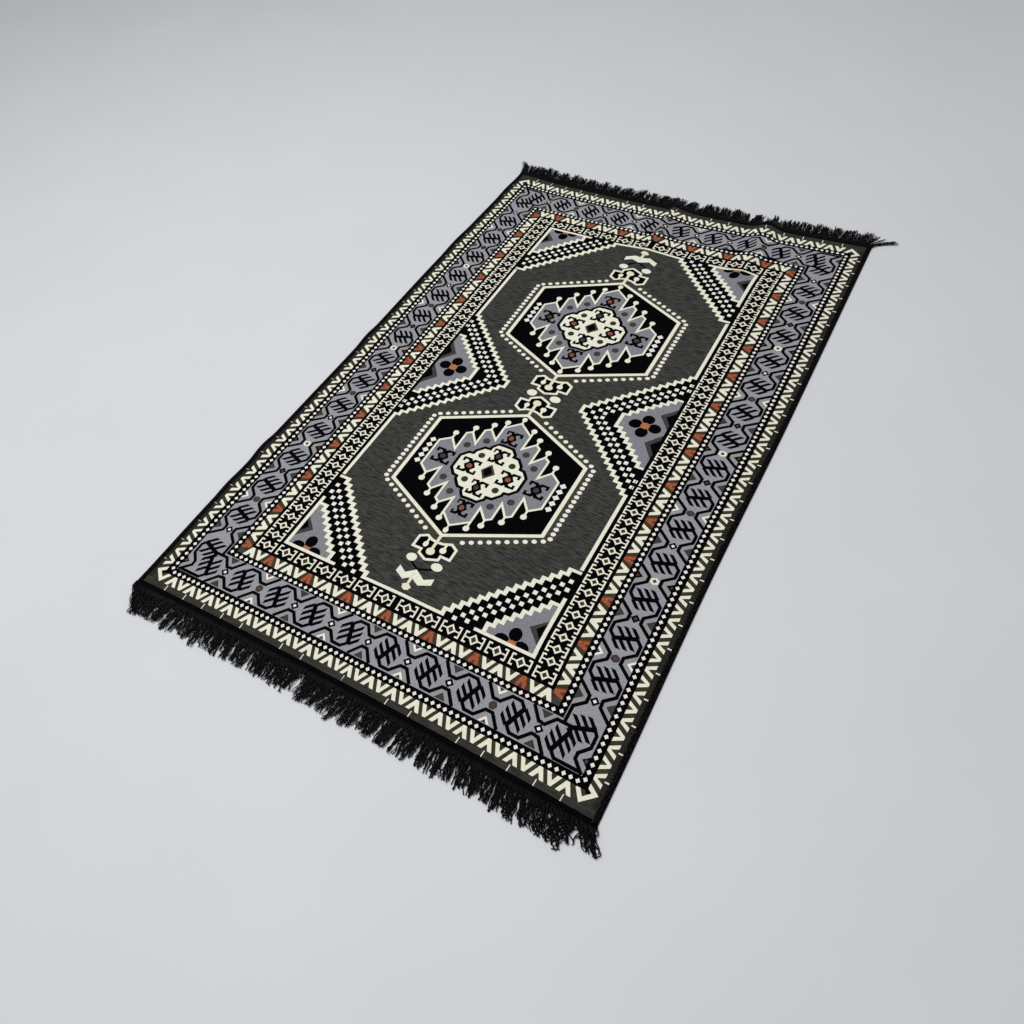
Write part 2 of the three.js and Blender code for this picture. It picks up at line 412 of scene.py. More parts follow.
def spot(colour, x, y, half_x, half_y, corners=10, ceiling=None):
    """A round spot with a few corners, cut off flat at a ceiling where one is given."""
    turn = (np.arange(corners) + 0.5) * 2 * np.pi / corners
    points = np.stack([x + half_x * np.cos(turn), y + half_y * np.sin(turn)], axis=1)
    if ceiling is not None:
        points[:, 1] = np.minimum(points[:, 1], ceiling)
    patch(colour, points)


def moved_out(points, distance, closed=False):
    """Corners moved to the left of the way they run, with mitred joints."""
    points = np.array(points, float)
    run = np.roll(points, -1, axis=0) - points
    run /= np.linalg.norm(run, axis=1)[:, None]
    before = np.roll(run, 1, axis=0)
    if not closed:
        before[0] = run[0]
        run[-1] = before[-1]
    left = np.stack([-run[:, 1] - before[:, 1], run[:, 0] + before[:, 0]], axis=1)
    return points + left * distance / (1 + (run * before).sum(axis=1))[:, None]


def stripe(colour, points, width):
    """A line of corners made a band: the line moved out half its width to each side."""
    one_side = moved_out(points, width / 2)
    other_side = moved_out(points, -width / 2)
    patch(colour, np.concatenate([one_side, other_side[::-1]]))


def swapped(points):
    return [(y, x) for x, y in points]


def mirrored(points):
    """An outline's right upper part carried on round the other three quarters."""
    right = list(points) + [(x, -y) for x, y in points[::-1] if y]
    return right + [(-x, y) for x, y in right[::-1] if x]


# %% [markdown]
# ## Borders
# Seen from outside, the rug has a plain dark band with small white ticks, a zigzag of blunt
# cream wedges, a wide lavender border of combs between two rows of white dots, and a
# second zigzag. Each is first a block of its ground colour over all that lies further in.
# Then a loop sets out its motif at the real pitch, a little different along the two sides,
# because the weave is closer one way than the other.

# %% Outer bands
PATTERN_HALF_WIDTH = CLOTH_HALF_WIDTH
PATTERN_HALF_LENGTH = 905.5
PATTERN_STRETCH = HALF_LENGTH / PATTERN_HALF_LENGTH
# past the first line the near end's band is black, and past the second each side's band is
SEAM_AT = 900.5
EDGE_BAND_FROM = 562
# the zigzag's inner and outer line, at the side and at the end
ZIGZAG_X = (531, 552.5)
ZIGZAG_Y = (861.5, 886)
ZIGZAG_PITCH_X = 27.55
ZIGZAG_PITCH_Y = 29.7
# small white ticks: which of the end's show, their pitch, where they start and stop, and half their width
END_TICKS = (0, 2, 3, 5, 6, 7, 8, 9)
END_TICK_PITCH = 55.4
END_TICK_Y = (887, 902)
SIDE_TICKS = range(15)
SIDE_TICK_PITCH = 59.4
SIDE_TICK_X = (554, 563)
SIDE_TICK_HALF = 1.4


def chevron(colour, notch_colour, at, tip, base, wide, blunt, notch, depth, turned=False):
    """A V with a blunt tip and a notch in its wide end; turned draws it for a long side."""
    inner = base + math.copysign(depth, tip - base)
    outline = [(at - wide, base), (at - notch, base), (at, inner), (at + notch, base), (at + wide, base),
               (at + blunt, tip), (at - blunt, tip)]
    cut = [(at - notch, base), (at, inner), (at + notch, base)]
    patch(colour, swapped(outline) if turned else outline)
    patch(notch_colour, swapped(cut) if turned else cut)


def outer_ground():
    """The plain band; its second block adds nothing but an edge along the near end's seam."""
    block("ground", 0, PATTERN_HALF_WIDTH, 0, PATTERN_HALF_LENGTH)
    block("ground", 0, PATTERN_HALF_WIDTH, 0, SEAM_AT)
    block("dusk", ZIGZAG_X[1], EDGE_BAND_FROM, 0, 884)
    block("black", EDGE_BAND_FROM, PATTERN_HALF_WIDTH, 0, PATTERN_HALF_LENGTH)
    low, high = END_TICK_Y
    for k in END_TICKS:
        at = k * END_TICK_PITCH
        patch("white", [(at - 1, low), (at + 1, low), (at + 0.1, high), (at - 1.9, high)])
    for k in SIDE_TICKS:
        at = k * SIDE_TICK_PITCH
        block("white", *SIDE_TICK_X, at - SIDE_TICK_HALF, at + SIDE_TICK_HALF)


def outer_zigzag():
    """Wedges that point outwards and inwards by turns, and one bent band round the corner."""
    block("olive", 0, ZIGZAG_X[1], 0, ZIGZAG_Y[1])
    for k in range(19):
        tip, base, depth = (*ZIGZAG_Y, 12) if k % 2 == 0 else (*ZIGZAG_Y[::-1], 14)
        chevron("cream", "olive", k * ZIGZAG_PITCH_X, tip, base, 15.6, 3.2, 6.6, depth)
    for k in range(29):
        tip, base = ZIGZAG_X if k % 2 == 0 else ZIGZAG_X[::-1]
        chevron("cream", "olive", k * ZIGZAG_PITCH_Y, tip, base, 15.8, 3.4, 6.8, 14, turned=True)
    block("black", ZIGZAG_X[0], 541, 853, 866)
    patch("ground", [(ZIGZAG_X[1], 868), (ZIGZAG_X[1], ZIGZAG_Y[1]), (534, ZIGZAG_Y[1])])
    stripe("cream", [(530, 849), (548.5, 861.3), (528, 880.5), (514.5, 861.5)], 8.2)


outer_ground()
outer_zigzag()
print(len(patches), "patches with the outer zigzag")

# %% Dotted band
DOT_HALF_X = 4.8
DOT_HALF_Y = 5.2


def dotted_band(outer_x, outer_y, dot_x, dot_y, pitch_x, pitch_y, count_x, count_y):
    """White diamonds on black, a row and a column that share no corner diamond."""
    block("black", 0, outer_x, 0, outer_y)
    for k in range(count_x):
        diamond("white", (k + 0.5) * pitch_x, dot_y, DOT_HALF_X, DOT_HALF_Y)
    for k in range(count_y):
        diamond("white", dot_x, (k + 0.5) * pitch_y, DOT_HALF_X, DOT_HALF_Y)


dotted_band(outer_x=533, outer_y=862, dot_x=521.5, dot_y=853,
            pitch_x=14.37, pitch_y=14.95, count_x=36, count_y=57)
print(len(patches), "patches with the outer dots")

# %% [markdown]
# ## Main border
# On the real rug the lavender border is a row of like cells: a comb with teeth on both sides
# of a slanting spine, held between two bent outlines, with small triangles and diamonds in
# the gaps. A cell could be copied as a mesh, but then its colours could not be changed one
# by one. So it is a function of a place, and the same function draws it along both sides,
# with across and along swapped.

# %% Comb cells
BORDER_X = 473.5
BORDER_Y = 801
BORDER_OUTER = (513, 842)
CELL_X = 100.6
CELL_Y = 100.3


def on_short_side(x, y=BORDER_Y):
    return lambda s, t: (x + s, y + t)


def on_long_side(y, x=BORDER_X):
    return lambda s, t: (x + t, y + s)


# a cell's shapes from its middle: where each tooth starts and its length, then three lines
COMB_TEETH = [((-20, -23.5), 20), ((-25, -9.5), 18), ((-28.5, 5), 17)]
TOOTH_HALF = 5.2
OUTLINE = [(-50.4, -14), (-42, -14), (-24.5, -34), (-4, -34), (9, -21)]
SECOND_LINE = [(20.5, -41), (43, -14), (50.4, -14)]
LINE_WIDE = 7.5
SPINE = [(9, -24), (-9, 24)]
SPINE_WIDE = 10
# where the outlines leave the band's two edges open
GAP_FROM_MIDDLE = 39.5


def placed(points, place, turned=False):
    """A cell's points on the rug; turned gives them a half turn about the cell's middle."""
    sign = -1 if turned else 1
    return [place(sign * s, sign * t) for s, t in points]


def comb_teeth(place, turned):
    for (s, t), length in COMB_TEETH:
        tooth = [(s, t - TOOTH_HALF), (s, t + TOOTH_HALF), (s + length, t + length + TOOTH_HALF),
                 (s + length, t + length - TOOTH_HALF)]
        patch("black", placed(tooth, place, turned))


def border_cell(place):
    """A comb with teeth on both sides of a slanting spine, between two bent outlines."""
    stripe("black", placed(SPINE, place), SPINE_WIDE)
    for turned in (False, True):
        comb_teeth(place, turned)
        stripe("black", placed(OUTLINE, place, turned), LINE_WIDE)
        stripe("black", placed(SECOND_LINE, place, turned), LINE_WIDE)


print("a cell of the border is", CELL_X, "mm wide at the end and", CELL_Y, "mm at the side")

# %% Between the cells
# colour of the triangle, half its width and its height, then the same for the one inside it
GAP_KINDS = {
    "plain": ("mauve", 13, 16, "slate", 7, 12),
    "bright": ("white", 12.5, 14.5, "slate", 6, 7.5),
    "red": ("black", 10.5, 14, "maroon", 5, 6),
}
# colour of the outer shape, colour of the diamond inside it and its half width
NODE_KINDS = {
    "white": ("black", "white", 4.3),
    "dark": ("black", "umber", 4.8),
    "pale": ("cream", "brown", 5.4),
    "blurred": ("umber", "brown", 3),
}


def border_gap(place, kind):
    """The wedges that the outlines leave at the band's two edges, where two cells meet."""
    outer, outer_half, outer_high, inner, inner_half, inner_high = GAP_KINDS[kind]
    wide = GAP_FROM_MIDDLE
    for edge in (-1, 1):
        patch("stone", [place(s, edge * t) for s, t in ((-27, wide), (27, wide), (6, 14), (-6, 14))])
        for colour, half, high in ((outer, outer_half, outer_high), (inner, inner_half, inner_high)):
            corners = ((-half, wide), (half, wide), (0, wide - high))
            patch(colour, [place(s, edge * t) for s, t in corners])


def border_node(place, kind):
    """A small diamond where two cells meet; the pale and blurred kinds are six-sided."""
    outer, inner, half = NODE_KINDS[kind]
    if kind in ("pale", "blurred"):
        patch(outer, placed([(-9.6, 0), (-4.6, -9), (4.6, -9), (9.6, 0), (4.6, 9), (-4.6, 9)], place))
    else:
        patch(outer, placed([(-10.6, 0), (0, -10.6), (10.6, 0), (0, 10.6)], place))
    patch(inner, placed([(-half, 0), (0, -half), (half, 0), (0, half)], place))


print(len(GAP_KINDS), "kinds of gap and", len(NODE_KINDS), "kinds of diamond")

# %% Draw the main border
def border_corner():
    """The corner's two combs, which share their outline and close it round the corner."""
    upper = on_long_side(762.5)
    lower = on_short_side(449, 803)
    for line in ([(459.5, 702), (459.5, 711), (439.5, 728.5), (439.5, 771)],
                 [(401.5, 788), (408, 788), (425, 767.5), (453, 767.5), (459, 780)],
                 [(488, 702), (488, 709), (516, 733)]):
        stripe("black", line, LINE_WIDE)
    stripe("black", placed(SPINE, upper), SPINE_WIDE)
    stripe("black", placed(SPINE, lower), SPINE_WIDE)
    for tooth_place, turned in ((upper, False), (upper, True), (lower, False), (lower, True)):
        comb_teeth(tooth_place, turned)
    for line in ([(494, 748), (505.5, 763), (505.5, 788), (488, 807), (488, 819), (511, 841)],
                 [(437, 822), (452.5, 837.5), (509, 837.5)],
                 placed(SECOND_LINE, on_short_side(452, 802), turned=True)):
        stripe("black", line, LINE_WIDE)
    patch("black", [(500, 814), (514, 803), (514, 826)])
    spot("maroon", 508.5, 814, 3.6, 4.4, 6)


def main_border():
    """Gaps first, then cells over them, then the corner, and the small diamonds on top."""
    block("lavender", 0, BORDER_OUTER[0], 0, BORDER_OUTER[1])
    short_nodes = [on_short_side(CELL_X * k) for k in range(5)]
    long_nodes = [on_long_side(CELL_Y * k) for k in range(8)]
    for place, kind in zip(short_nodes, ("plain", "bright", "plain", "bright", "plain")):
        border_gap(place, kind)
    for k, place in enumerate(long_nodes):
        border_gap(place, ("red", "plain", "bright", "plain")[k % 4])
    for k in range(4):
        border_cell(on_short_side(CELL_X * (k + 0.5)))
    for k in range(7):
        border_cell(on_long_side(CELL_Y * (k + 0.5)))
    border_corner()
    for place, kind in zip(short_nodes, ("white", "white", "white", "blurred", "white")):
        border_node(place, kind)
    for k, place in enumerate(long_nodes):
        border_node(place, ("pale", "dark", "blurred", "white")[k % 4])


main_border()
dotted_band(outer_x=434, outer_y=760, dot_x=425, dot_y=752.5,
            pitch_x=14.36, pitch_y=14.83, count_x=29, count_y=51)
print(len(patches), "patches with the main border")

# %% Inner zigzag
# the inner zigzag's inner and outer line, at the side and at the end
INNER_X = (393.5, 415.5)
INNER_Y = (718, 743)
INNER_PITCH_X = 27.4
INNER_PITCH_Y = 28.7


def red_wedge(at, tip, base, turned=False):
    """A blunt wedge in rust with maroon edges and a maroon notch in its wide end."""
    notch = base + 0.45 * (tip - base)
    for colour, outline in (
            ("maroon", [(at - 15.5, base), (at + 15.5, base), (at + 5.5, tip), (at - 5.5, tip)]),
            ("rust", [(at - 12, base), (at + 12, base), (at + 4.2, tip), (at - 4.2, tip)]),
            ("umber", [(at - 4.5, base), (at + 4.5, base), (at, notch)])):
        patch(colour, swapped(outline) if turned else outline)


def inner_zigzag():
    """Cream wedges as in the outer zigzag, every fourth one red, and a grey corner."""
    block("olive", 0, INNER_X[1], 0, INNER_Y[1])
    for k in range(15):
        at = k * INNER_PITCH_X
        if k % 4 == 0:
            red_wedge(at, *INNER_Y)
        else:
            tip, base, depth = (*INNER_Y, 10) if k % 2 == 0 else (*INNER_Y[::-1], 13)
            chevron("cream", "olive", at, tip, base, 15.6, 3.6, 0.55 * depth, depth)
    for k in range(26):
        at = k * INNER_PITCH_Y
        if k % 4 == 1:
            red_wedge(at, *INNER_X, turned=True)
        else:
            tip, base, depth = (*INNER_X, 8.5) if k % 2 == 1 else (*INNER_X[::-1], 11)
            chevron("cream", "olive", at, tip, base, 15.8, 3.8, 0.62 * depth, depth, turned=True)
    block("slate", 400, INNER_X[1], 728, INNER_Y[1])


inner_zigzag()
print(len(patches), "patches with the inner zigzag")

# %% Lattice
# its middle line at the side and at the end, and its pitch along each
LATTICE_X = 362.5
LATTICE_Y = 696
LATTICE_PITCH_X = 55.2
LATTICE_PITCH_Y = 29.6


def lattice_unit(x, y, bar_at, half_high, half_x, half_y):
    """A hollow diamond on a stem between two upright bars with hooked ends."""
    block("cream", x - bar_at, x + bar_at, y - 1.5, y + 1.5)
    for side in (-1, 1):
        face = x + side * bar_at
        for end in (-1, 1):
            hook = x + side * (bar_at - 9)
            low, high = sorted((y + end * half_high, y + end * (half_high - 4)))
            block("cream", min(face, hook), max(face, hook), low, high)
        edge = x + side * (bar_at - 3.5)
        block("cream", min(face, edge), max(face, edge), y - half_high, y + half_high)
    diamond("cream", x, y, half_x, half_y)
    diamond("olive", x, y, half_x - 5, half_y - 5.4)


def lattice():
    """Units up the side, one in the corner, and wider ones along the end."""
    block("black", 0, INNER_X[0], 0, INNER_Y[0])
    for k in range(23):
        lattice_unit(LATTICE_X, (k + 0.5) * LATTICE_PITCH_Y, 23, 12.2, 11, 11.6)
    lattice_unit(LATTICE_X, 698, 23, 13, 11, 12)
    for k in range(6):
        lattice_unit(31.5 + LATTICE_PITCH_X * k, LATTICE_Y, 23.6, 14, 11.5, 13.5)


lattice()
print(len(patches), "patches with the lattice")

# %% [markdown]
# ## Field, triangles and medallions
# The field is a plain charcoal ground with a cream line round it. Stepped triangles come in
# from its corners and sides, and two hexagon medallions with toothed stars stand on the
# long middle line. Steps are flights of equal treads, and a medallion's outlines are drawn
# for one quarter of it and mirrored, so that each shape needs only a few corners.

# %% Field and stepped triangles
FIELD_X = 321.7
FIELD_Y = 668.5
LINE_X = 330.3
LINE_Y = 676
CHECKER_HALF = 4.95


def flight(x, y, step_x, step_y, count):
    """Corners of a flight of steps that runs from (x, y), first along X and then along Y."""
    k = np.arange(2 * count - 1)
    return list(zip(x + step_x * ((k + 1) // 2), y + step_y * (k // 2)))


def moved(points, by_x, by_y):
    return [(x + by_x, y + by_y) for x, y in points]


def checkers(x, y, step_x, step_y, count):
    for k in range(count):
        middle_x, middle_y = x + step_x * k, y + step_y * k
        block("white", middle_x - CHECKER_HALF, middle_x + CHECKER_HALF,
              middle_y - CHECKER_HALF, middle_y + CHECKER_HALF)


def stepped_fill(colour, steps, closing):
    """A flight of steps, closed by two straight sides that meet at the closing corner."""
    patch(colour, [(steps[0][0], closing[1])] + steps + [(closing[0], steps[-1][1]), closing])


print("the field reaches", FIELD_X, "mm across and", FIELD_Y, "mm along")

# %% Draw the field
def corner_triangle():
    steps = flight(102, 654, 14.04, -14.7, 15)
    stepped_fill("moss", moved(steps, -4, -4), (LINE_X, FIELD_Y))
    stepped_fill("cream", steps, (LINE_X, LINE_Y))
    stepped_fill("black", moved(steps, 10.2, 7.5), (LINE_X, LINE_Y))
    checkers(136.5, 669.5, 14, -14.62, 14)
    checkers(165, 663.5, 14.09, -14.68, 12)
    block("black", 327, LINE_X, 457, 522)
    inner_steps = flight(203, 645, 13.8, -15.07, 8)
    stepped_fill("cream", inner_steps, (LINE_X, LINE_Y))
    stepped_fill("heather", moved(inner_steps, 9.5, 7.6), (FIELD_X, FIELD_Y))
    spot("black", 272, 645.5, 14.5, 16.5, 12)
    spot("black", 249.5, 668, 17, 14, 12, ceiling=FIELD_Y)
    spot("black", 295, 668, 17, 15, 12, ceiling=FIELD_Y)
    spot("amber", 272.5, 668, 10.5, 8.5, ceiling=FIELD_Y)
    patch("slate", [(FIELD_X, 586), (290, 616), (FIELD_X, 648)])
    patch("black", [(FIELD_X, 594), (305, 614), (FIELD_X, 636)])
    block("cream", 186, LINE_X, FIELD_Y, LINE_Y)
    block("cream", FIELD_X, LINE_X, 522, LINE_Y)


def side_triangle():
    steps = flight(110, 16, 14.3, 14.46, 15)
    stepped_fill("moss", moved(steps, -4, 4), (FIELD_X, 0))
    stepped_fill("cream", steps, (LINE_X, 0))
    stepped_fill("black", moved(steps, 9, -6.5), (LINE_X, 0))
    checkers(143, 0, 14.2, 14.35, 14)
    checkers(172.3, 8.2, 14.2, 14.4, 12)
    block("black", 328.5, LINE_X, 133, 210)
    inner_steps = flight(209.5, 27, 14.07, 14.3, 8)
    stepped_fill("cream", inner_steps, (LINE_X, 0))
    stepped_fill("heather", moved(inner_steps, 9, -6.5), (LINE_X, 0))
    for dx, dy, half_x, half_y in ((-24.5, 0, 16.5, 15.5), (24.5, 0, 16.5, 15.5), (0, 23, 15.5, 16.5)):
        spot("black", 278 + dx, dy, half_x, half_y, 12)
    spot("amber", 278, 0, 11.5, 11)
    patch("slate", [(LINE_X, 10), (298, 50), (LINE_X, 90)])
    patch("black", [(LINE_X, 27), (313, 50), (LINE_X, 74)])


def field():
    block("cream", 0, LINE_X, 0, LINE_Y)
    block("charcoal", 0, FIELD_X, 0, FIELD_Y)
    corner_triangle()
    side_triangle()


field()
print(len(patches), "patches with the field")

# %% Medallion
MEDALLION_Y = 290
MEDALLION_REACH = 213
STAR_LINE_HALF = 2.7
# place across, foot and knob of each spike on the star
SPIKES = [(0, 177, 192), (41.5, 150, 167), (68.5, 128, 145.5), (106.5, 100, 117), (144.5, 62, 81.5)]
SPIKE_HALF = 2.6
KNOB_HALF = 8.0
HOOK_QUARTER = [(0, 18), (4, 23), (25.5, 23), (25.5, 9.5), (18.5, 9.5), (18.5, 16.3), (11.5, 16.3),
                (7, 12), (16, 0)]


def at_medallion(points):
    return [(x, MEDALLION_Y + y) for x, y in points]


def hook_motif(x, y, centre_colour):
    """A diamond whose four arms end in square hooks."""
    patch("black", [(x + a, MEDALLION_Y + y + b) for a, b in mirrored(HOOK_QUARTER)])
    spot(centre_colour, x, MEDALLION_Y + y, 7.6, 7.6, 8)


def hexagon_frame():
    """A moss shadow, a cream line and a black ground, with dots outside and checks inside."""
    patch("moss", at_medallion(mirrored([(0, 242), (240, 130)])))
    patch("cream", at_medallion(mirrored([(0, 214), (213, 113)])))
    patch("black", at_medallion(mirrored([(0, 204), (203.5, 108)])))
    for k in range(16):
        spot("white", 228, MEDALLION_Y + (k - 7.5) * 14.73, 6.4, 5.7, 8)
    for side in (-1, 1):
        for k in range(10):
            spot("white", 55 + 18 * k, MEDALLION_Y + side * (205.5 - 9.2 * k), 6.4, 5.7, 8)
    for k in range(-2, 3):
        diamond("white", 185.5, MEDALLION_Y + 18.75 * k, 9, 8.6)


def spiked_star():
    """A toothed star with a cream line, a knobbed spike on each tooth and four pairs of spots."""
    half = [(0, 177), (38, 150), (41.5, 150), (41.5, 101), (68, 128.5), (81, 119), (81, 69), (106.5, 101),
            (119.5, 92), (119.5, 33.5), (144.5, 63), (170.5, 43)]
    outline = mirrored(half)
    patch("cream", at_medallion(moved_out(outline, STAR_LINE_HALF, closed=True)))
    patch("heather", at_medallion(moved_out(outline, -STAR_LINE_HALF, closed=True)))
    for x, root, tip in SPIKES:
        for side in (-1, 1):
            low, high = sorted((MEDALLION_Y + side * root, MEDALLION_Y + side * tip))
            block("cream", x - SPIKE_HALF, x + SPIKE_HALF, low, high)
            spot("cream", x, MEDALLION_Y + side * tip, KNOB_HALF, KNOB_HALF)
    for x, y in ((60, 88.5), (98, 57)):
        for side in (-1, 1):
            spot("slate", x, MEDALLION_Y + side * y, 9.6, 9.6)


def stepped_heart():
    """The cream middle with its black rim, a dark diamond and four spots."""
    outline = mirrored([(22, 87), (33, 75), (33, 65), (50, 64), (64, 48), (66, 37), (79, 35), (92, 20)])
    patch("black", at_medallion(moved_out(outline, 8, closed=True)))
    patch("cream", at_medallion(outline))
    diamond("moss", 0, MEDALLION_Y, 23, 25)
    diamond("black", 0, MEDALLION_Y, 15, 17)
    for side in (-1, 1):
        spot("olive", 47, MEDALLION_Y + side * 41.5, 9, 9)


def medallion():
    hexagon_frame()
    spiked_star()
    stepped_heart()
    for x, y, colour in ((58, 0, "rose"), (0, 54, "slate"), (0, -54, "slate"), (134, 0, "slate"),
                         (0, 120.5, "rose"), (0, -120.5, "rose")):
        hook_motif(x, y, colour)


medallion()
print(len(patches), "patches with the medallion")

# %% Pendants
PENDANT_RING = [(0, 69), (30, 57.5), (30, 46.5), (54, 46.5), (54, 17), (37, 7.5), (18, 15.5), (0, 17.5)]


def pendant(point, way):
    """Hangs from a medallion's point; way is 1 towards the rug's end and -1 towards its middle."""
    def hang(points):
        return [(x, point + way * y) for x, y in points]
    patch("moss", hang([(0, 0), (45, -14), (36, 6), (18, 14), (0, 14)]))
    patch("black", hang(PENDANT_RING))
    stripe("cream", hang(PENDANT_RING), 6.3)
    patch("straw", hang([(0, -2), (4.5, -2), (4.5, 42), (0, 42)]))
    spot("straw", 0, point + way * 45, 13, 10)
    patch("cream", hang([(24, 14), (30, 14), (30, 28), (24, 28)]))
    spot("cream", 27, point + way * 31, 8.2, 8.2)


def bird():
    """The spread-winged figure that closes the row of pendants at each end of the field."""
    patch("black", [(0, 599.5), (36, 584), (36, 589.5), (0, 606)])
    spot("cream", 38, 578, 14.2, 10.7)
    patch("cream", [(0, 603), (29, 619), (50, 607), (51.5, 624), (24, 637), (4, 627.5), (4, 640), (0, 640)])
    patch("straw", [(0, 612), (3, 612), (3, 642), (13.5, 648), (9, 657), (0, 660)])


def pendants():
    pendant(MEDALLION_Y + MEDALLION_REACH, 1)
    pendant(MEDALLION_Y - MEDALLION_REACH, -1)
    spot("cream", 37, 0, 15, 11.5)
    bird()


pendants()
print(len(patches), "patches drawn in one quarter")

# %% [markdown]
# ## From patches to cloth
# Overlapping patches can't be a mesh. A constrained triangulation cuts the flat quarter
# along every patch edge and says which patches each small triangle lies in; the last one
# drawn gives its yarn. Points between the edges let the triangles bend over the buckles.
# Painting the pattern with shader nodes would need hundreds of them, so real edges between
# real yarns are the better way.

# %% Triangulate the quarter
# grids of extra points: from and to across, from and to along, step across, step along
BENDING_GRIDS = [
    # along the end's seam and the end's rim
    (4.3, EDGE_BAND_FROM, SEAM_AT, PATTERN_HALF_LENGTH, 5, PATTERN_HALF_LENGTH),
    (4.3, EDGE_BAND_FROM, PATTERN_HALF_LENGTH, PATTERN_HALF_LENGTH + 1, 5, 5),
    # along the side's band and the side's rim
    (EDGE_BAND_FROM, PATTERN_HALF_WIDTH, 6.4, SEAM_AT, PATTERN_HALF_WIDTH, 8.7),
    (PATTERN_HALF_WIDTH, PATTERN_HALF_WIDTH + 1, 6.4, SEAM_AT, 5, 8.7),
    # all over, then the middle buckle, the fold mark, the other buckle and the edge's humps
    (7.3, 560, 9.1, 900, 31, 29),
    (2.6, 62, 380, 905, 5, 21),
    (2.6, 34, 9.1, 380, 8, 31),
    (226.4, 335, 380, 905, 8, 21),
    (510.7, 562, 5.3, 905, 9, 17),
]
JOIN_WITHIN_MM = 1e-4
INSIDE_ONLY = 1


def grid(left, right, low, high, step_x, step_y):
    xs = np.arange(left, right, step_x)
    ys = np.arange(low, high, step_y)
    return np.stack(np.meshgrid(xs, ys), axis=-1).reshape(-1, 2)


def cut_quarter():
    """The patches' corners and outlines, each run anticlockwise, and the extra points, as one
    triangulation: its points, its triangles and the topmost patch of each triangle."""
    corners, outlines = [], []
    for _, points in patches:
        turn = points[:, 0] @ np.roll(points[:, 1], -1) - points[:, 1] @ np.roll(points[:, 0], -1)
        if turn < 0:
            points = points[::-1]
        outlines.append(list(range(len(corners), len(corners) + len(points))))
        corners.extend(points.tolist())
    for row in BENDING_GRIDS:
        corners.extend(grid(*row).tolist())
    found = delaunay_2d_cdt([Vector(c) for c in corners], [], outlines, INSIDE_ONLY, JOIN_WITHIN_MM, True)
    points = np.array([tuple(v) for v in found[0]])
    triangles = np.array(found[2])
    topmost = np.array([max(ids, default=-1) for ids in found[5]])
    middle = points[triangles].mean(axis=1)
    inside = (middle.min(axis=1) > 0) & (middle < (PATTERN_HALF_WIDTH, PATTERN_HALF_LENGTH)).all(axis=1)
    print((topmost[inside] < 0).sum(), "triangles without a patch")
    return points, triangles[inside], topmost[inside]


quarter_points, quarter_triangles, quarter_patch = cut_quarter()
names = list(YARNS)
patch_yarn = np.array([names.index(colour) for colour, _ in patches])
quarter_yarn = patch_yarn[quarter_patch]
print(len(quarter_triangles), "triangles in a quarter")

# %% [markdown]
# ## One cloth from four quarters
# The quarter is mirrored three times and welded along the middle lines, stretched to the
# cloth's size, laid out with the two functions for plan and height, and closed with a back
# and a rim of the cloth's thickness. Both faces carry the same yarns, as on a real kilim,
# whose wefts show on both sides.

# %% Mirror and weld
WELD_DECIMALS = 3
# the left side's ticks are faded to grey, except near the corners
FADED_TICKS_WITHIN = 860


def mirror_quarter(points, triangles, yarns):
    """Four copies, two of them with their triangles turned round, welded where they meet."""
    copies, faces = [], []
    for side_x, side_y in ((1, 1), (-1, 1), (1, -1), (-1, -1)):
        order = triangles if side_x * side_y > 0 else triangles[:, ::-1]
        faces.append(order + len(points) * len(copies))
        copies.append(points * (side_x, side_y))
    everything = np.round(np.concatenate(copies), WELD_DECIMALS) + 0.0
    welded, where = np.unique(everything, axis=0, return_inverse=True)
    faces = where.reshape(-1)[np.concatenate(faces)]
    whole = (faces[:, 0] != faces[:, 1]) & (faces[:, 1] != faces[:, 2]) & (faces[:, 2] != faces[:, 0])
    used, faces = np.unique(faces[whole], return_inverse=True)
    return welded[used], faces.reshape(-1, 3), np.tile(yarns, 4)[whole]


flat, triangles, yarns = mirror_quarter(quarter_points, quarter_triangles, quarter_yarn)
middle_x, middle_y = flat[triangles].mean(axis=1).T
yarns[middle_y < -SEAM_AT] = names.index("black")
left_ticks = (middle_x < -ZIGZAG_X[1]) & (yarns == names.index("white"))
yarns[left_ticks & (np.abs(middle_y) < FADED_TICKS_WITHIN)] = names.index("stone")
print(len(flat), "points and", len(triangles), "triangles in the face of the cloth")

# %% [markdown]
# ## Where the pattern lies
# A woven pattern is never quite true. The weave is tighter in places, the middle fold takes
# a little cloth, and one edge runs ahead. Motifs moved one by one would no longer meet, so
# the whole flat pattern is moved a few millimetres by smooth functions before it is laid,
# and every point goes with its neighbours.

# %% Move the pattern
# what the middle fold takes from the width of the left and the right half
FOLD_TAKES_LEFT = 2.0
FAR_TAKES_LESS = 3.5
FOLD_TAKES_RIGHT = 6
FOLD_BLEND = 60
# from here on the sewn end holds the weave to its full width
END_HOLDS_FROM = 720
END_HOLDS_OVER = 120
# where the weave is tighter along the length
TIGHT_AT = 180
TIGHT_HALF = 520
TIGHT_BY = 8
# how the left edge runs ahead: by how much, over which stretch, and how soon before the end it stops
LEFT_EDGE_AHEAD = 6.5
AHEAD_HALF = 270
AHEAD_STOPS_OVER = 75
# the bulge in the right side's triangle
BULGE_AT = (288, 5)
BULGE_REACH = (115, 150)
BULGE_BY = 9


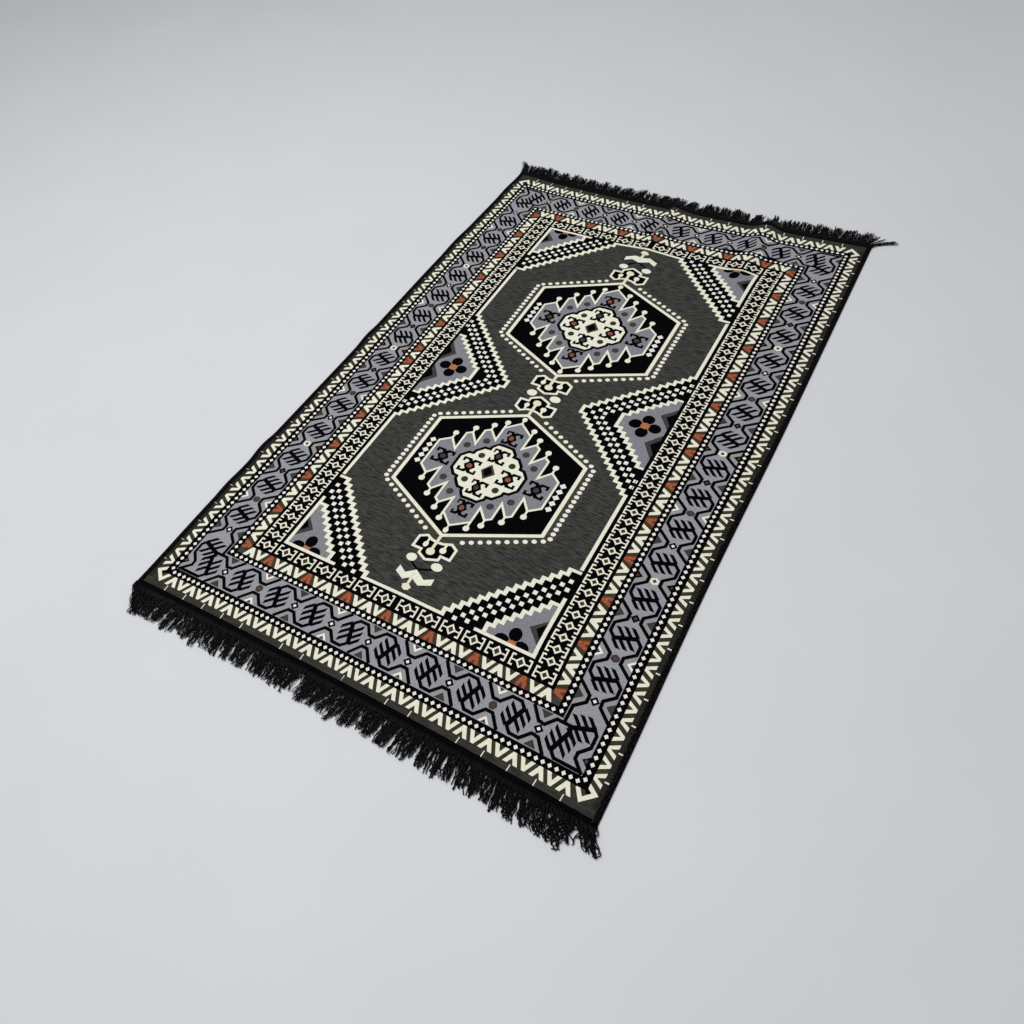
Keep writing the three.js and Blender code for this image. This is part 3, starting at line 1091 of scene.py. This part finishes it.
def pattern_place(flat):
    """Where the flat pattern lies on the cloth: both halves are drawn to the middle fold, the right
    one only between the sewn ends, the weave is tighter beyond the middle of the length, and it runs
    a little ahead along the far part of the left edge and in the triangle on the right."""
    across = flat[:, 0]
    along = flat[:, 1] * PATTERN_STRETCH
    share = np.abs(across) / CLOTH_HALF_WIDTH
    right_of_fold = smooth((across - FOLD_MARK[0] + FOLD_BLEND / 2) / FOLD_BLEND)
    held = smooth((END_HOLDS_FROM - np.abs(along)) / END_HOLDS_OVER)
    left_takes = FOLD_TAKES_LEFT - FAR_TAKES_LESS * along / HALF_LENGTH
    drawn = left_takes * (1 - share ** 2) * (1 - right_of_fold)
    drawn = drawn - FOLD_TAKES_RIGHT * (1 - share ** 3) * right_of_fold * held
    at_left_edge = smooth(5 * share - 4) * (across < 0)
    ahead = at_left_edge * smooth((along + AHEAD_HALF) / (2 * AHEAD_HALF))
    ahead = ahead * smooth((HALF_LENGTH - along) / AHEAD_STOPS_OVER)
    bulge = hump((across - BULGE_AT[0]) / BULGE_REACH[0]) * hump((along - BULGE_AT[1]) / BULGE_REACH[1])
    tight = hump((along - TIGHT_AT) / TIGHT_HALF)
    return across + drawn, along - TIGHT_BY * tight + LEFT_EDGE_AHEAD * ahead + BULGE_BY * bulge


def laid_cloth(flat):
    across, along = pattern_place(flat)
    x, y = lay_out(across, along)
    return np.stack([x, y, lift(across, along)], axis=1)


print("the fold takes", FOLD_TAKES_LEFT, "and", FOLD_TAKES_RIGHT, "mm from the two halves")

# %% Rim and new pieces
def rim_of(triangles):
    """Edges that only one triangle has, in that triangle's own direction."""
    edges = np.concatenate([triangles[:, [0, 1]], triangles[:, [1, 2]], triangles[:, [2, 0]]])
    size = triangles.max() + 1
    forward = edges[:, 0] * size + edges[:, 1]
    backward = edges[:, 1] * size + edges[:, 0]
    return edges[~np.isin(forward, backward)]


def new_piece(name, points, faces, materials, slots, uv, flat_place):
    """A mesh object in the frame from whole arrays; faces is a list of arrays of equal-sided faces."""
    mesh = bpy.data.meshes.new(name)
    sides = np.concatenate([np.full(len(f), f.shape[1]) for f in faces])
    corners = np.concatenate([f.reshape(-1) for f in faces])
    mesh.vertices.add(len(points))
    mesh.loops.add(len(corners))
    mesh.polygons.add(len(sides))
    mesh.vertices.foreach_set("co", to_frame(points).astype(np.float32).reshape(-1))
    mesh.loops.foreach_set("vertex_index", corners.astype(np.int32))
    starts = np.concatenate([[0], np.cumsum(sides)[:-1]])
    mesh.polygons.foreach_set("loop_start", starts.astype(np.int32))
    mesh.polygons.foreach_set("loop_total", sides.astype(np.int32))
    mesh.polygons.foreach_set("use_smooth", np.full(len(sides), True))
    for material in materials:
        mesh.materials.append(material)
    mesh.polygons.foreach_set("material_index", slots.astype(np.int32))
    mesh.update(calc_edges=True)
    mesh.uv_layers.new(name="unrolled").data.foreach_set("uv", uv[corners].astype(np.float32).reshape(-1))
    place = mesh.attributes.new("flat_place", "FLOAT_VECTOR", "POINT")
    place.data.foreach_set("vector", flat_place.astype(np.float32).reshape(-1))
    piece = bpy.data.objects.new(name, mesh)
    bpy.context.collection.objects.link(piece)
    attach(piece, "root")
    return piece


print(len(rim_of(triangles)), "edges in the cloth's rim")

# %% Make the cloth
# on the unrolled page the top takes the left half and the underside the right half
PAGE_SIZE = (0.48, 0.98)
TOP_CORNER = (0.01, 0.01)
UNDER_CORNER = (0.51, 0.01)


def make_cloth():
    """The laid sheet twice, a thickness apart, the lower one turned over, joined by quads round the rim."""
    under = laid_cloth(flat)
    over = under + (0, 0, CLOTH_THICK)
    count = len(flat)
    rim = rim_of(triangles)
    rim_quads = np.stack([rim[:, 1], rim[:, 0], rim[:, 0] + count, rim[:, 1] + count], axis=1)
    share = flat / (2 * PATTERN_HALF_WIDTH, 2 * PATTERN_HALF_LENGTH) + 0.5
    uv = np.concatenate([share * PAGE_SIZE + TOP_CORNER, share * PAGE_SIZE + UNDER_CORNER])
    place = np.concatenate([flat, flat])
    place = np.concatenate([place, np.zeros((len(place), 1))], axis=1)
    slots = np.concatenate([yarns, yarns, np.full(len(rim_quads), names.index("ground"))])
    cloth = new_piece("woven_cloth", np.concatenate([over, under]),
                      [triangles, triangles[:, ::-1] + count, rim_quads],
                      list(YARNS.values()), slots, uv, place)
    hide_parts("rug_cloth")
    print("cloth:", len(cloth.data.polygons), "faces")
    return cloth


cloth = make_cloth()

# %% [markdown]
# ## Overcast edges
# Each long edge is whipped over with thick matt black yarn, which makes a low rounded bead
# with slanting turns about 3.4 mm apart. A swept section with the turns as real ridges
# gives the edge its broken outline, which a bump alone would not.

# %% Black yarns
FIBRE_STRENGTH = 0.5
FIBRE_DEPTH = 0.0005


def edge_yarn(name, base, light, rough, gloss, fleck_and_glint_mm):
    """Black spun yarn: fibre flecks from noise stretched along the yarn, in its own coordinates; on the
    glossy fringe yarn the lighter flecks are painted glints.
    """
    material, tree = new_material(name)
    place = add(tree, "ShaderNodeAttribute", attribute_name="flat_place")
    wide = add(tree, "ShaderNodeMapping", [("Vector", place, "Vector")],
               [("Scale", (1 / fleck_and_glint_mm[0], 1 / fleck_and_glint_mm[1], 1))])
    fibres = add(tree, "ShaderNodeTexNoise", [("Vector", wide, "Vector")],
                 [("Scale", 1.0), ("Detail", 3.0)])
    spread = add(tree, "ShaderNodeMapRange", [("Value", fibres, "Fac")],
                 [("From Min", 0.4), ("From Max", 0.7)])
    colour = add(tree, "ShaderNodeMix", [("Factor", spread, "Result")], data_type="RGBA")
    colour.inputs["A"].default_value = linear(base)
    colour.inputs["B"].default_value = linear(light)
    bump = add(tree, "ShaderNodeBump", [("Height", fibres, "Fac")],
               [("Strength", FIBRE_STRENGTH), ("Distance", FIBRE_DEPTH)])
    shader = add(tree, "ShaderNodeBsdfPrincipled", [("Normal", bump, "Normal")],
                 [("Roughness", rough), ("Specular IOR Level", gloss)])
    tree.links.new(colour.outputs["Result"], shader.inputs["Base Color"])
    out = add(tree, "ShaderNodeOutputMaterial")
    tree.links.new(shader.outputs[0], out.inputs["Surface"])
    return material


# spun wool is hairy and hardly shines, a tight heading swallows light, and the crimped yarn is of
# smooth filaments, so that a thin bright line runs along each one; the crimped yarn's lighter
# flecks are painted glints
OVERCAST = edge_yarn("matt_black_overcast_wool", "#020202", "#191818", 0.95, 0.03, (7.0, 2.2))
HEADING = edge_yarn("black_woven_heading", "#020202", "#060607", 0.9, 0.02, (2.0, 1.2))
# painted glints: the fringe yarn's lighter flecks, #0e0e0f on #010101
FRINGE = edge_yarn("glossy_black_crimped_yarn", "#010101", "#0e0e0f", 0.34, 0.05, (5.0, 2.0))
print("three black yarns: overcast, heading and fringe")

# %% Swept closed pieces
def swept(rows):
    """Quads round a closed section carried along rows of points [row, corner], with a face at each end."""
    count, ring = rows.shape[:2]
    row, corner = np.meshgrid(np.arange(count - 1) * ring, np.arange(ring), indexing="ij")
    after = (corner + 1) % ring
    quads = np.stack([row + corner, row + after, row + ring + after, row + ring + corner], axis=-1)
    ends = np.array([np.arange(ring)[::-1], (count - 1) * ring + np.arange(ring)])
    return rows.reshape(-1, 3), [quads.reshape(-1, 4), ends]


# %% Make the overcast edges
TURN_MM = 3.4
TURN_SLANT = 0.8
TURN_DEPTH = 0.07
ROWS_PER_TURN = 4
BINDING_CORNERS = 16
# a section of power 1 would be a circle, and one of power 0 a square
SECTION_POWER = 0.72
# the section's corners lie this far apart in the yarn's own coordinates
CORNER_MM = 2.0


def bead_section(corners):
    """Share of width out and share of height up round a flattened circle, from the floor side:
    cosine and sine, each raised to a power below 1 so that the circle fills its box better."""
    angle = -np.pi / 2 + 2 * np.pi * np.arange(corners) / corners
    out = 0.5 + 0.5 * np.sign(np.cos(angle)) * np.abs(np.cos(angle)) ** SECTION_POWER
    up = 0.5 + 0.5 * np.sign(np.sin(angle)) * np.abs(np.sin(angle)) ** SECTION_POWER
    return out, up


def make_binding(name, node, side):
    """The section carried along the edge; each turn of yarn swells it by a cosine that slants across."""
    out, up = bead_section(BINDING_CORNERS)
    rows_along = int(CLOTH_LENGTH / (TURN_MM / ROWS_PER_TURN))
    along = np.linspace(-HALF_LENGTH, HALF_LENGTH, rows_along)[:, None]
    turn = np.cos(2 * np.pi * (along + TURN_SLANT * out * BINDING_WIDTH) / TURN_MM)
    swell = 1 - TURN_DEPTH + TURN_DEPTH * turn
    across = side * (BINDING_INNER + (0.5 + (out - 0.5) * swell) * BINDING_WIDTH)
    height = (0.5 + (up - 0.5) * swell) * BINDING_HEIGHT
    x, y = lay_out(across, along + 0 * out)
    rows = np.stack([x, y, lift(side * BINDING_INNER, along) + height], axis=-1)
    if side < 0:
        rows = rows[:, ::-1]
    points, faces = swept(rows)
    corner = np.arange(BINDING_CORNERS)
    flat_place = np.stack(np.broadcast_arrays(along, corner * CORNER_MM, 0.0), axis=-1)
    uv = np.stack(np.broadcast_arrays(along / CLOTH_LENGTH + 0.5, corner / BINDING_CORNERS), axis=-1)
    slots = np.zeros(sum(len(quads) for quads in faces))
    piece = new_piece(name, points, faces, [OVERCAST], slots, uv.reshape(-1, 2), flat_place.reshape(-1, 3))
    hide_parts(node)
    print(name, len(piece.data.polygons), "faces")
    return piece


bindings = [make_binding("left_overcast_edge", "binding_left", -1),
            make_binding("right_overcast_edge", "binding_right", 1)]

# %% [markdown]
# ## Fringes
# A fringe trim is sewn to each end: a dense black woven heading, and glossy crimped yarns
# that hang out of it in loose locks. Hair curves would be quick, but they are no mesh. So each
# yarn is a thin four-sided tube, and all of them are one array. The real trim has more and
# thinner yarns; these stand for them in number.

# %% Heading strip
HEADING_RIB_MM = 3.5
HEADING_RIB_DEPTH = 0.05
HEADING_CORNERS = 12
ROWS_PER_RIB = 3
HEADING_ROWS = int(RUG_WIDTH / (HEADING_RIB_MM / ROWS_PER_RIB))
# steps of the strip's own coordinates along it and round it
STRIP_STEP_MM = (1.2, 2.0)


def end_place(across, out, end):
    """Across the rug and out from the cloth's end, to a place on the floor."""
    x, y = lay_out(across, end * HALF_LENGTH + 0 * across)
    return x, y + end * out


def heading_rows(end):
    """A flat strip with rounded edges and a rib every few millimetres, as rows of section points."""
    out, up = bead_section(HEADING_CORNERS)
    across = np.linspace(-HALF_WIDTH, HALF_WIDTH, HEADING_ROWS)[:, None]
    rib = 1 - HEADING_RIB_DEPTH + HEADING_RIB_DEPTH * np.cos(2 * np.pi * across / HEADING_RIB_MM)
    x, y = end_place(across + 0 * out, PIECE_GAP + out * (HEADING_WIDTH - PIECE_GAP), end)
    height = (0.5 + (up - 0.5) * rib) * HEADING_HEIGHT
    rows = np.stack([x, y, lift(across, end * HALF_LENGTH) + height], axis=-1)
    return rows if end < 0 else rows[:, ::-1]


print("a heading strip has", HEADING_ROWS, "rows of", HEADING_CORNERS, "points")

# %% [markdown]
# ## How the yarns fall
# Each yarn follows its lock, and locks lean together in clumps, splay at the corners and
# part in a few places. Along a yarn a slow wriggle and a fine crimp are added as sines.
# Combing each yarn by hand would look no better at this size. Scattered numbers come
# from one seeded generator for each end, so every run gives the same fringe.

# %% Locks
LOCKS_PER_END = 96
YARNS_PER_LOCK = 9
LOCK_LENGTH = 49
LOCK_LENGTH_SPREAD = 10
LOCK_LENGTH_SCATTER = 3.5
LOCK_LEAN_SCATTER = 2.8
LOCK_SWAY = 7
SWAY_LONG = 97
SWAY_SHORT = 31
SHORT_SWAY_SHARE = 0.6
CLUMP_MM = 33
CLUMP_PULL = 4.0
CLUMP_LONGER = 2.4
# two sines that make the clumps uneven: how many radians each adds and its length
CLUMP_WANDERS = (2.5, 53)
CLUMP_JITTERS = (1.4, 19)
# how far the outermost locks lean out past the left and the right corner, near end first; below 0
# they lean in
SPLAY = {-1: (-50, 24), 1: (26, 21)}
# places where two clumps lean apart, at the near and the far end
PARTINGS = {-1: (-77,), 1: (54, 214, 266)}
PARTING_REACH = 26
PARTING_PUSH = {-1: 10, 1: 17}
PARTING_SHORTER = 14
# the near end's locks are cut short at its right corner
SHORT_FROM = 520
SHORT_OVER = 60
SHORTER_BY = 28
# single yarns are cut shorter than their lock, the shortest by this much
YARN_SHORTER = 16


def scatter(i, j):
    """A fixed scattered number from 0 to 1 for two whole numbers."""
    s = np.sin(i * 127.1 + j * 311.7) * 43758.5453
    return s - np.floor(s)


def clump_turn(root, end):
    """The angle of a lock in its clump, 0 at the clump's middle, with the two uneven sines."""
    wander = CLUMP_WANDERS[0] * np.sin(root / CLUMP_WANDERS[1] + end)
    jitter = CLUMP_JITTERS[0] * np.sin(root / CLUMP_JITTERS[1])
    return 2 * np.pi * root / CLUMP_MM + wander + jitter


def lock_bend(root, end):
    """How far a lock's tip moves across: a slow sway, a pull into clumps, a push away from each
    parting, and a lean at the corners that grows with the twelfth power of the place."""
    share = root / HALF_WIDTH
    sway = LOCK_SWAY * np.sin(root / SWAY_LONG + 2 * end)
    sway = sway + SHORT_SWAY_SHARE * LOCK_SWAY * np.sin(root / SWAY_SHORT + end)
    clump = -CLUMP_PULL * np.sin(clump_turn(root, end))
    left, right = SPLAY[end]
    splay = np.where(share < 0, -left, right) * share ** 12
    apart = sum(np.sign(root - at) * hump((root - at) / PARTING_REACH) for at in PARTINGS[end])
    return (sway + clump) * (1 - share ** 4) + apart * PARTING_PUSH[end] + splay


def yarn_lengths(rng, lock, lock_root, end):
    """A lock's length with its scatter, less near a parting and at the near right corner, and less
    again for each yarn by the square of a random number."""
    longer = rng.normal(0, LOCK_LENGTH_SCATTER, LOCKS_PER_END)[lock]
    length = LOCK_LENGTH + LOCK_LENGTH_SPREAD * (scatter(lock, end) - 0.5) + longer
    length = length + CLUMP_LONGER * np.cos(clump_turn(lock_root, end))
    length = length - SHORTER_BY * smooth((lock_root - SHORT_FROM) / SHORT_OVER) * (end < 0)
    for at in PARTINGS[end]:
        length = length - PARTING_SHORTER * hump((lock_root - at) / PARTING_REACH)
    return (length - YARN_SHORTER * rng.random(len(lock)) ** 2)[:, None]


print(LOCKS_PER_END, "locks an end,", round(RUG_WIDTH / LOCKS_PER_END, 2), "mm from one to the next")

# %% Waves and strays
# a wriggle's wave and half its width, each from the first number by up to the second more
WRIGGLE_WAVE = (14, 14)
WRIGGLE_SIZE = (0.6, 2.0)
CRIMP_SIZE = 0.2
CRIMP_WAVE = 5.5
# a yarn also bounces up and down, in waves this share of its wriggle's
BOUNCE_SIZE = 0.7
BOUNCE_SHARE = 0.7
# stray yarns at the far right corner: how many, how far the last of them reach past it, how much of
# that comes evenly and how much at a jump, where the jump is, and how much shorter they look
STRAYS = 20
STRAYS_REACH = 41
STRAYS_EVENLY = 0.35
STRAYS_JUMP = 0.65
JUMP_AT = 0.6
JUMP_OVER = 0.15
STRAYS_LENGTH = (0.9, 0.25)


def sideways_waves(rng, run, curly):
    """Wriggle and crimp along each yarn, from its run in millimetres, with the length of its wriggle's
    wave and the phase of its bounce."""
    count = len(run)
    phase = 2 * np.pi * rng.random((3, count, 1))
    wave = WRIGGLE_WAVE[0] + WRIGGLE_WAVE[1] * rng.random((count, 1))
    size = curly * (WRIGGLE_SIZE[0] + WRIGGLE_SIZE[1] * rng.random((count, 1)))
    wriggle = size * np.sin(2 * np.pi * run / wave + phase[0])
    crimp = CRIMP_SIZE * np.sin(2 * np.pi * run / CRIMP_WAVE + phase[1])
    return wriggle + crimp, wave, phase[2]


def pull_strays(across, run, t):
    """The last yarns swing out past the corner as t^1.6, a few of them much further than the rest."""
    stray = np.linspace(0, 1, STRAYS)[:, None]
    reach = STRAYS_REACH * (STRAYS_EVENLY * stray + STRAYS_JUMP * smooth((stray - JUMP_AT) / JUMP_OVER))
    across[-STRAYS:] += reach * t ** 1.6
    run[-STRAYS:] *= STRAYS_LENGTH[0] - STRAYS_LENGTH[1] * stray


print("wriggles of", WRIGGLE_WAVE[0], "to", sum(WRIGGLE_WAVE), "mm, and", STRAYS, "stray yarns")

# %% Yarn paths
SEEDS = {-1: 17, 1: 41}
YARN_STEPS = 13
YARN_RADIUS = 1.45
YARN_LEAN_SCATTER = 5.0
# how much a lock narrows on its way
GATHER = 0.15
# towards the near end's right corner the yarns are curlier
CURLY_BY = 2.2
CURLY_FROM = 380
CURLY_OVER = 150
# how far out on the heading the yarns are knotted, and how high they pile up beyond it
KNOTTED_AT = 3
PILE_HEIGHT = 4.5
PILE_THINS_BY = 0.6
# how much sooner than the yarn's own length the cloth's lift has faded
LIFT_FADES = 1.4
# how far past the heading the yarns start to come down, and over what length, then how soon they are
# on top of it and how deep they are pressed into it there, as a share of their radius
FALLS_FROM = 5
FALLS_OVER = 9
RISES_OVER = 4
PRESSED_IN = 0.7


def yarn_heights(rng, across, out, bounce, t, end):
    """A height over the heading, and beyond it one in a random layer of the pile with its bounce, with
    a smooth step between the two, plus what is left of the cloth's lift."""
    layer = PILE_HEIGHT * rng.random((len(out), 1)) * (1 - PILE_THINS_BY * t)
    raised = lift(np.clip(across, -HALF_WIDTH, HALF_WIDTH), end * HALF_LENGTH)
    raised = raised * smooth(1 - LIFT_FADES * t)
    on_heading = smooth((HEADING_WIDTH + FALLS_FROM - out) / FALLS_OVER)
    over_heading = HEADING_HEIGHT + YARN_RADIUS * (smooth((out - KNOTTED_AT) / RISES_OVER) - PRESSED_IN)
    height = YARN_RADIUS + layer + bounce
    return height + (over_heading - height) * on_heading + raised


def yarn_paths(end):
    """Paths [yarn, step, xyz]: the yarn's share of its lock's root, the lock's bend growing as t^1.5,
    the waves along it, and a drop from the heading to the floor."""
    rng = np.random.default_rng(SEEDS[end])
    lock = np.repeat(np.arange(LOCKS_PER_END), YARNS_PER_LOCK)
    pitch = RUG_WIDTH / LOCKS_PER_END
    lock_root = -HALF_WIDTH + pitch * (lock + 0.5)
    in_lock = (np.tile(np.arange(YARNS_PER_LOCK), LOCKS_PER_END) + 0.5) / YARNS_PER_LOCK - 0.5
    lock_lean = rng.normal(0, LOCK_LEAN_SCATTER, LOCKS_PER_END)[lock]
    length = yarn_lengths(rng, lock, lock_root, end)
    bend = (lock_bend(lock_root, end) + lock_lean * (1 - (lock_root / HALF_WIDTH) ** 8))[:, None]
    bend = bend + rng.normal(0, YARN_LEAN_SCATTER, len(lock))[:, None]
    t = np.linspace(0, 1, YARN_STEPS)[None, :]
    run = length * t
    curly = 1 + CURLY_BY * smooth((lock_root - CURLY_FROM) / CURLY_OVER)[:, None] * (end < 0)
    sideways, wave, phase = sideways_waves(rng, run, curly)
    gather = 1 - GATHER * np.sin(0.6 * np.pi * t)
    across = lock_root[:, None] + pitch * in_lock[:, None] * gather
    across = across + bend * t ** 1.5 + sideways * smooth(3 * t)
    if end > 0:
        pull_strays(across, run, t)
    bounce = BOUNCE_SIZE * (1 + np.sin(2 * np.pi * run / (BOUNCE_SHARE * wave) + phase))
    out = KNOTTED_AT + run * (1 + (HEADING_WIDTH - KNOTTED_AT) / length)
    x, y = end_place(across, out, end)
    return np.stack([x, y, yarn_heights(rng, across, out, bounce, t, end)], axis=-1)


print(LOCKS_PER_END * YARNS_PER_LOCK, "yarns an end,", 2 * YARN_RADIUS, "mm from corner to corner")

# %% [markdown]
# ## From paths to yarns
# A real yarn is a round bundle of fine filaments. Curves with a bevel would give the same
# tubes, but as hundreds of objects, which are slow to make. Four sides, shaded
# smooth, are enough at this size, and all the tubes of an end are worked out in one step.

# %% Tubes round the paths
TUBE_SIDES = 4
YARN_TAPER = (1.0, 0.7)


def tubes(paths, radius):
    """Four-sided tubes round many paths at once: a ring of corners to the right, above, to the left
    and below each point, thinner towards the tip, closed by a face at the root and one at the tip."""
    count, steps = paths.shape[:2]
    ahead = np.gradient(paths, axis=1)
    side = np.cross(ahead, (0, 0, 1))
    side /= np.linalg.norm(side, axis=2, keepdims=True)
    up = np.cross(side, ahead)
    up /= np.linalg.norm(up, axis=2, keepdims=True)
    taper = radius * np.linspace(*YARN_TAPER, steps)[None, :, None]
    corners = [paths + side * taper, paths + up * taper, paths - side * taper, paths - up * taper]
    first = (np.arange(count) * steps * TUBE_SIDES)[:, None, None]
    row = (np.arange(steps - 1) * TUBE_SIDES)[None, :, None]
    corner = np.arange(TUBE_SIDES)[None, None, :]
    after = (corner + 1) % TUBE_SIDES
    low = first + row
    high = low + TUBE_SIDES
    quads = np.stack([low + corner, low + after, high + after, high + corner], axis=-1)
    roots = first[:, 0] + np.arange(TUBE_SIDES)[::-1]
    tips = first[:, 0] + (steps - 1) * TUBE_SIDES + np.arange(TUBE_SIDES)
    return np.stack(corners, axis=2).reshape(-1, 3), [quads.reshape(-1, 4), roots, tips]


print("a yarn has", (YARN_STEPS - 1) * TUBE_SIDES + 2, "faces")

# %% Make the fringes
# in the yarns' own coordinates each yarn has a strip of its own, this far from the next
YARN_APART_MM = 11.0


def own_places(strip, paths):
    """Each point's own coordinates: along and round the strip, then along and round each yarn."""
    rows, ring = strip.shape[:2]
    along, round_it = np.meshgrid(np.arange(rows), np.arange(ring), indexing="ij")
    strip_place = np.stack([along * STRIP_STEP_MM[0], round_it * STRIP_STEP_MM[1]], axis=-1)
    step = (np.arange(YARN_STEPS) * LOCK_LENGTH / (YARN_STEPS - 1))[None, :, None]
    number = np.arange(len(paths))[:, None, None] * YARN_APART_MM + np.arange(TUBE_SIDES)
    yarn_place = np.stack(np.broadcast_arrays(step, number), axis=-1)
    place = np.concatenate([strip_place.reshape(-1, 2), yarn_place.reshape(-1, 2)])
    return np.concatenate([place, np.zeros((len(place), 1))], axis=1)


def make_fringe(name, node, end):
    strip = heading_rows(end)
    strip_points, strip_faces = swept(strip)
    paths = yarn_paths(end)
    yarn_points, yarn_faces = tubes(paths, YARN_RADIUS)
    faces = strip_faces + [corners + len(strip_points) for corners in yarn_faces]
    points = np.concatenate([strip_points, yarn_points])
    slots = np.repeat([0, 0, 1, 1, 1], [len(corners) for corners in faces])
    low, high = points.min(axis=0), points.max(axis=0)
    uv = (points[:, :2] - low[:2]) / (high[:2] - low[:2])
    piece = new_piece(name, points, faces, [HEADING, FRINGE], slots, uv, own_places(strip, paths))
    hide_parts(node)
    print(name, len(paths), "yarns,", len(piece.data.polygons), "faces")
    return piece


fringes = [make_fringe("near_yarn_fringe", "fringe_near", -1),
           make_fringe("far_yarn_fringe", "fringe_far", 1)]
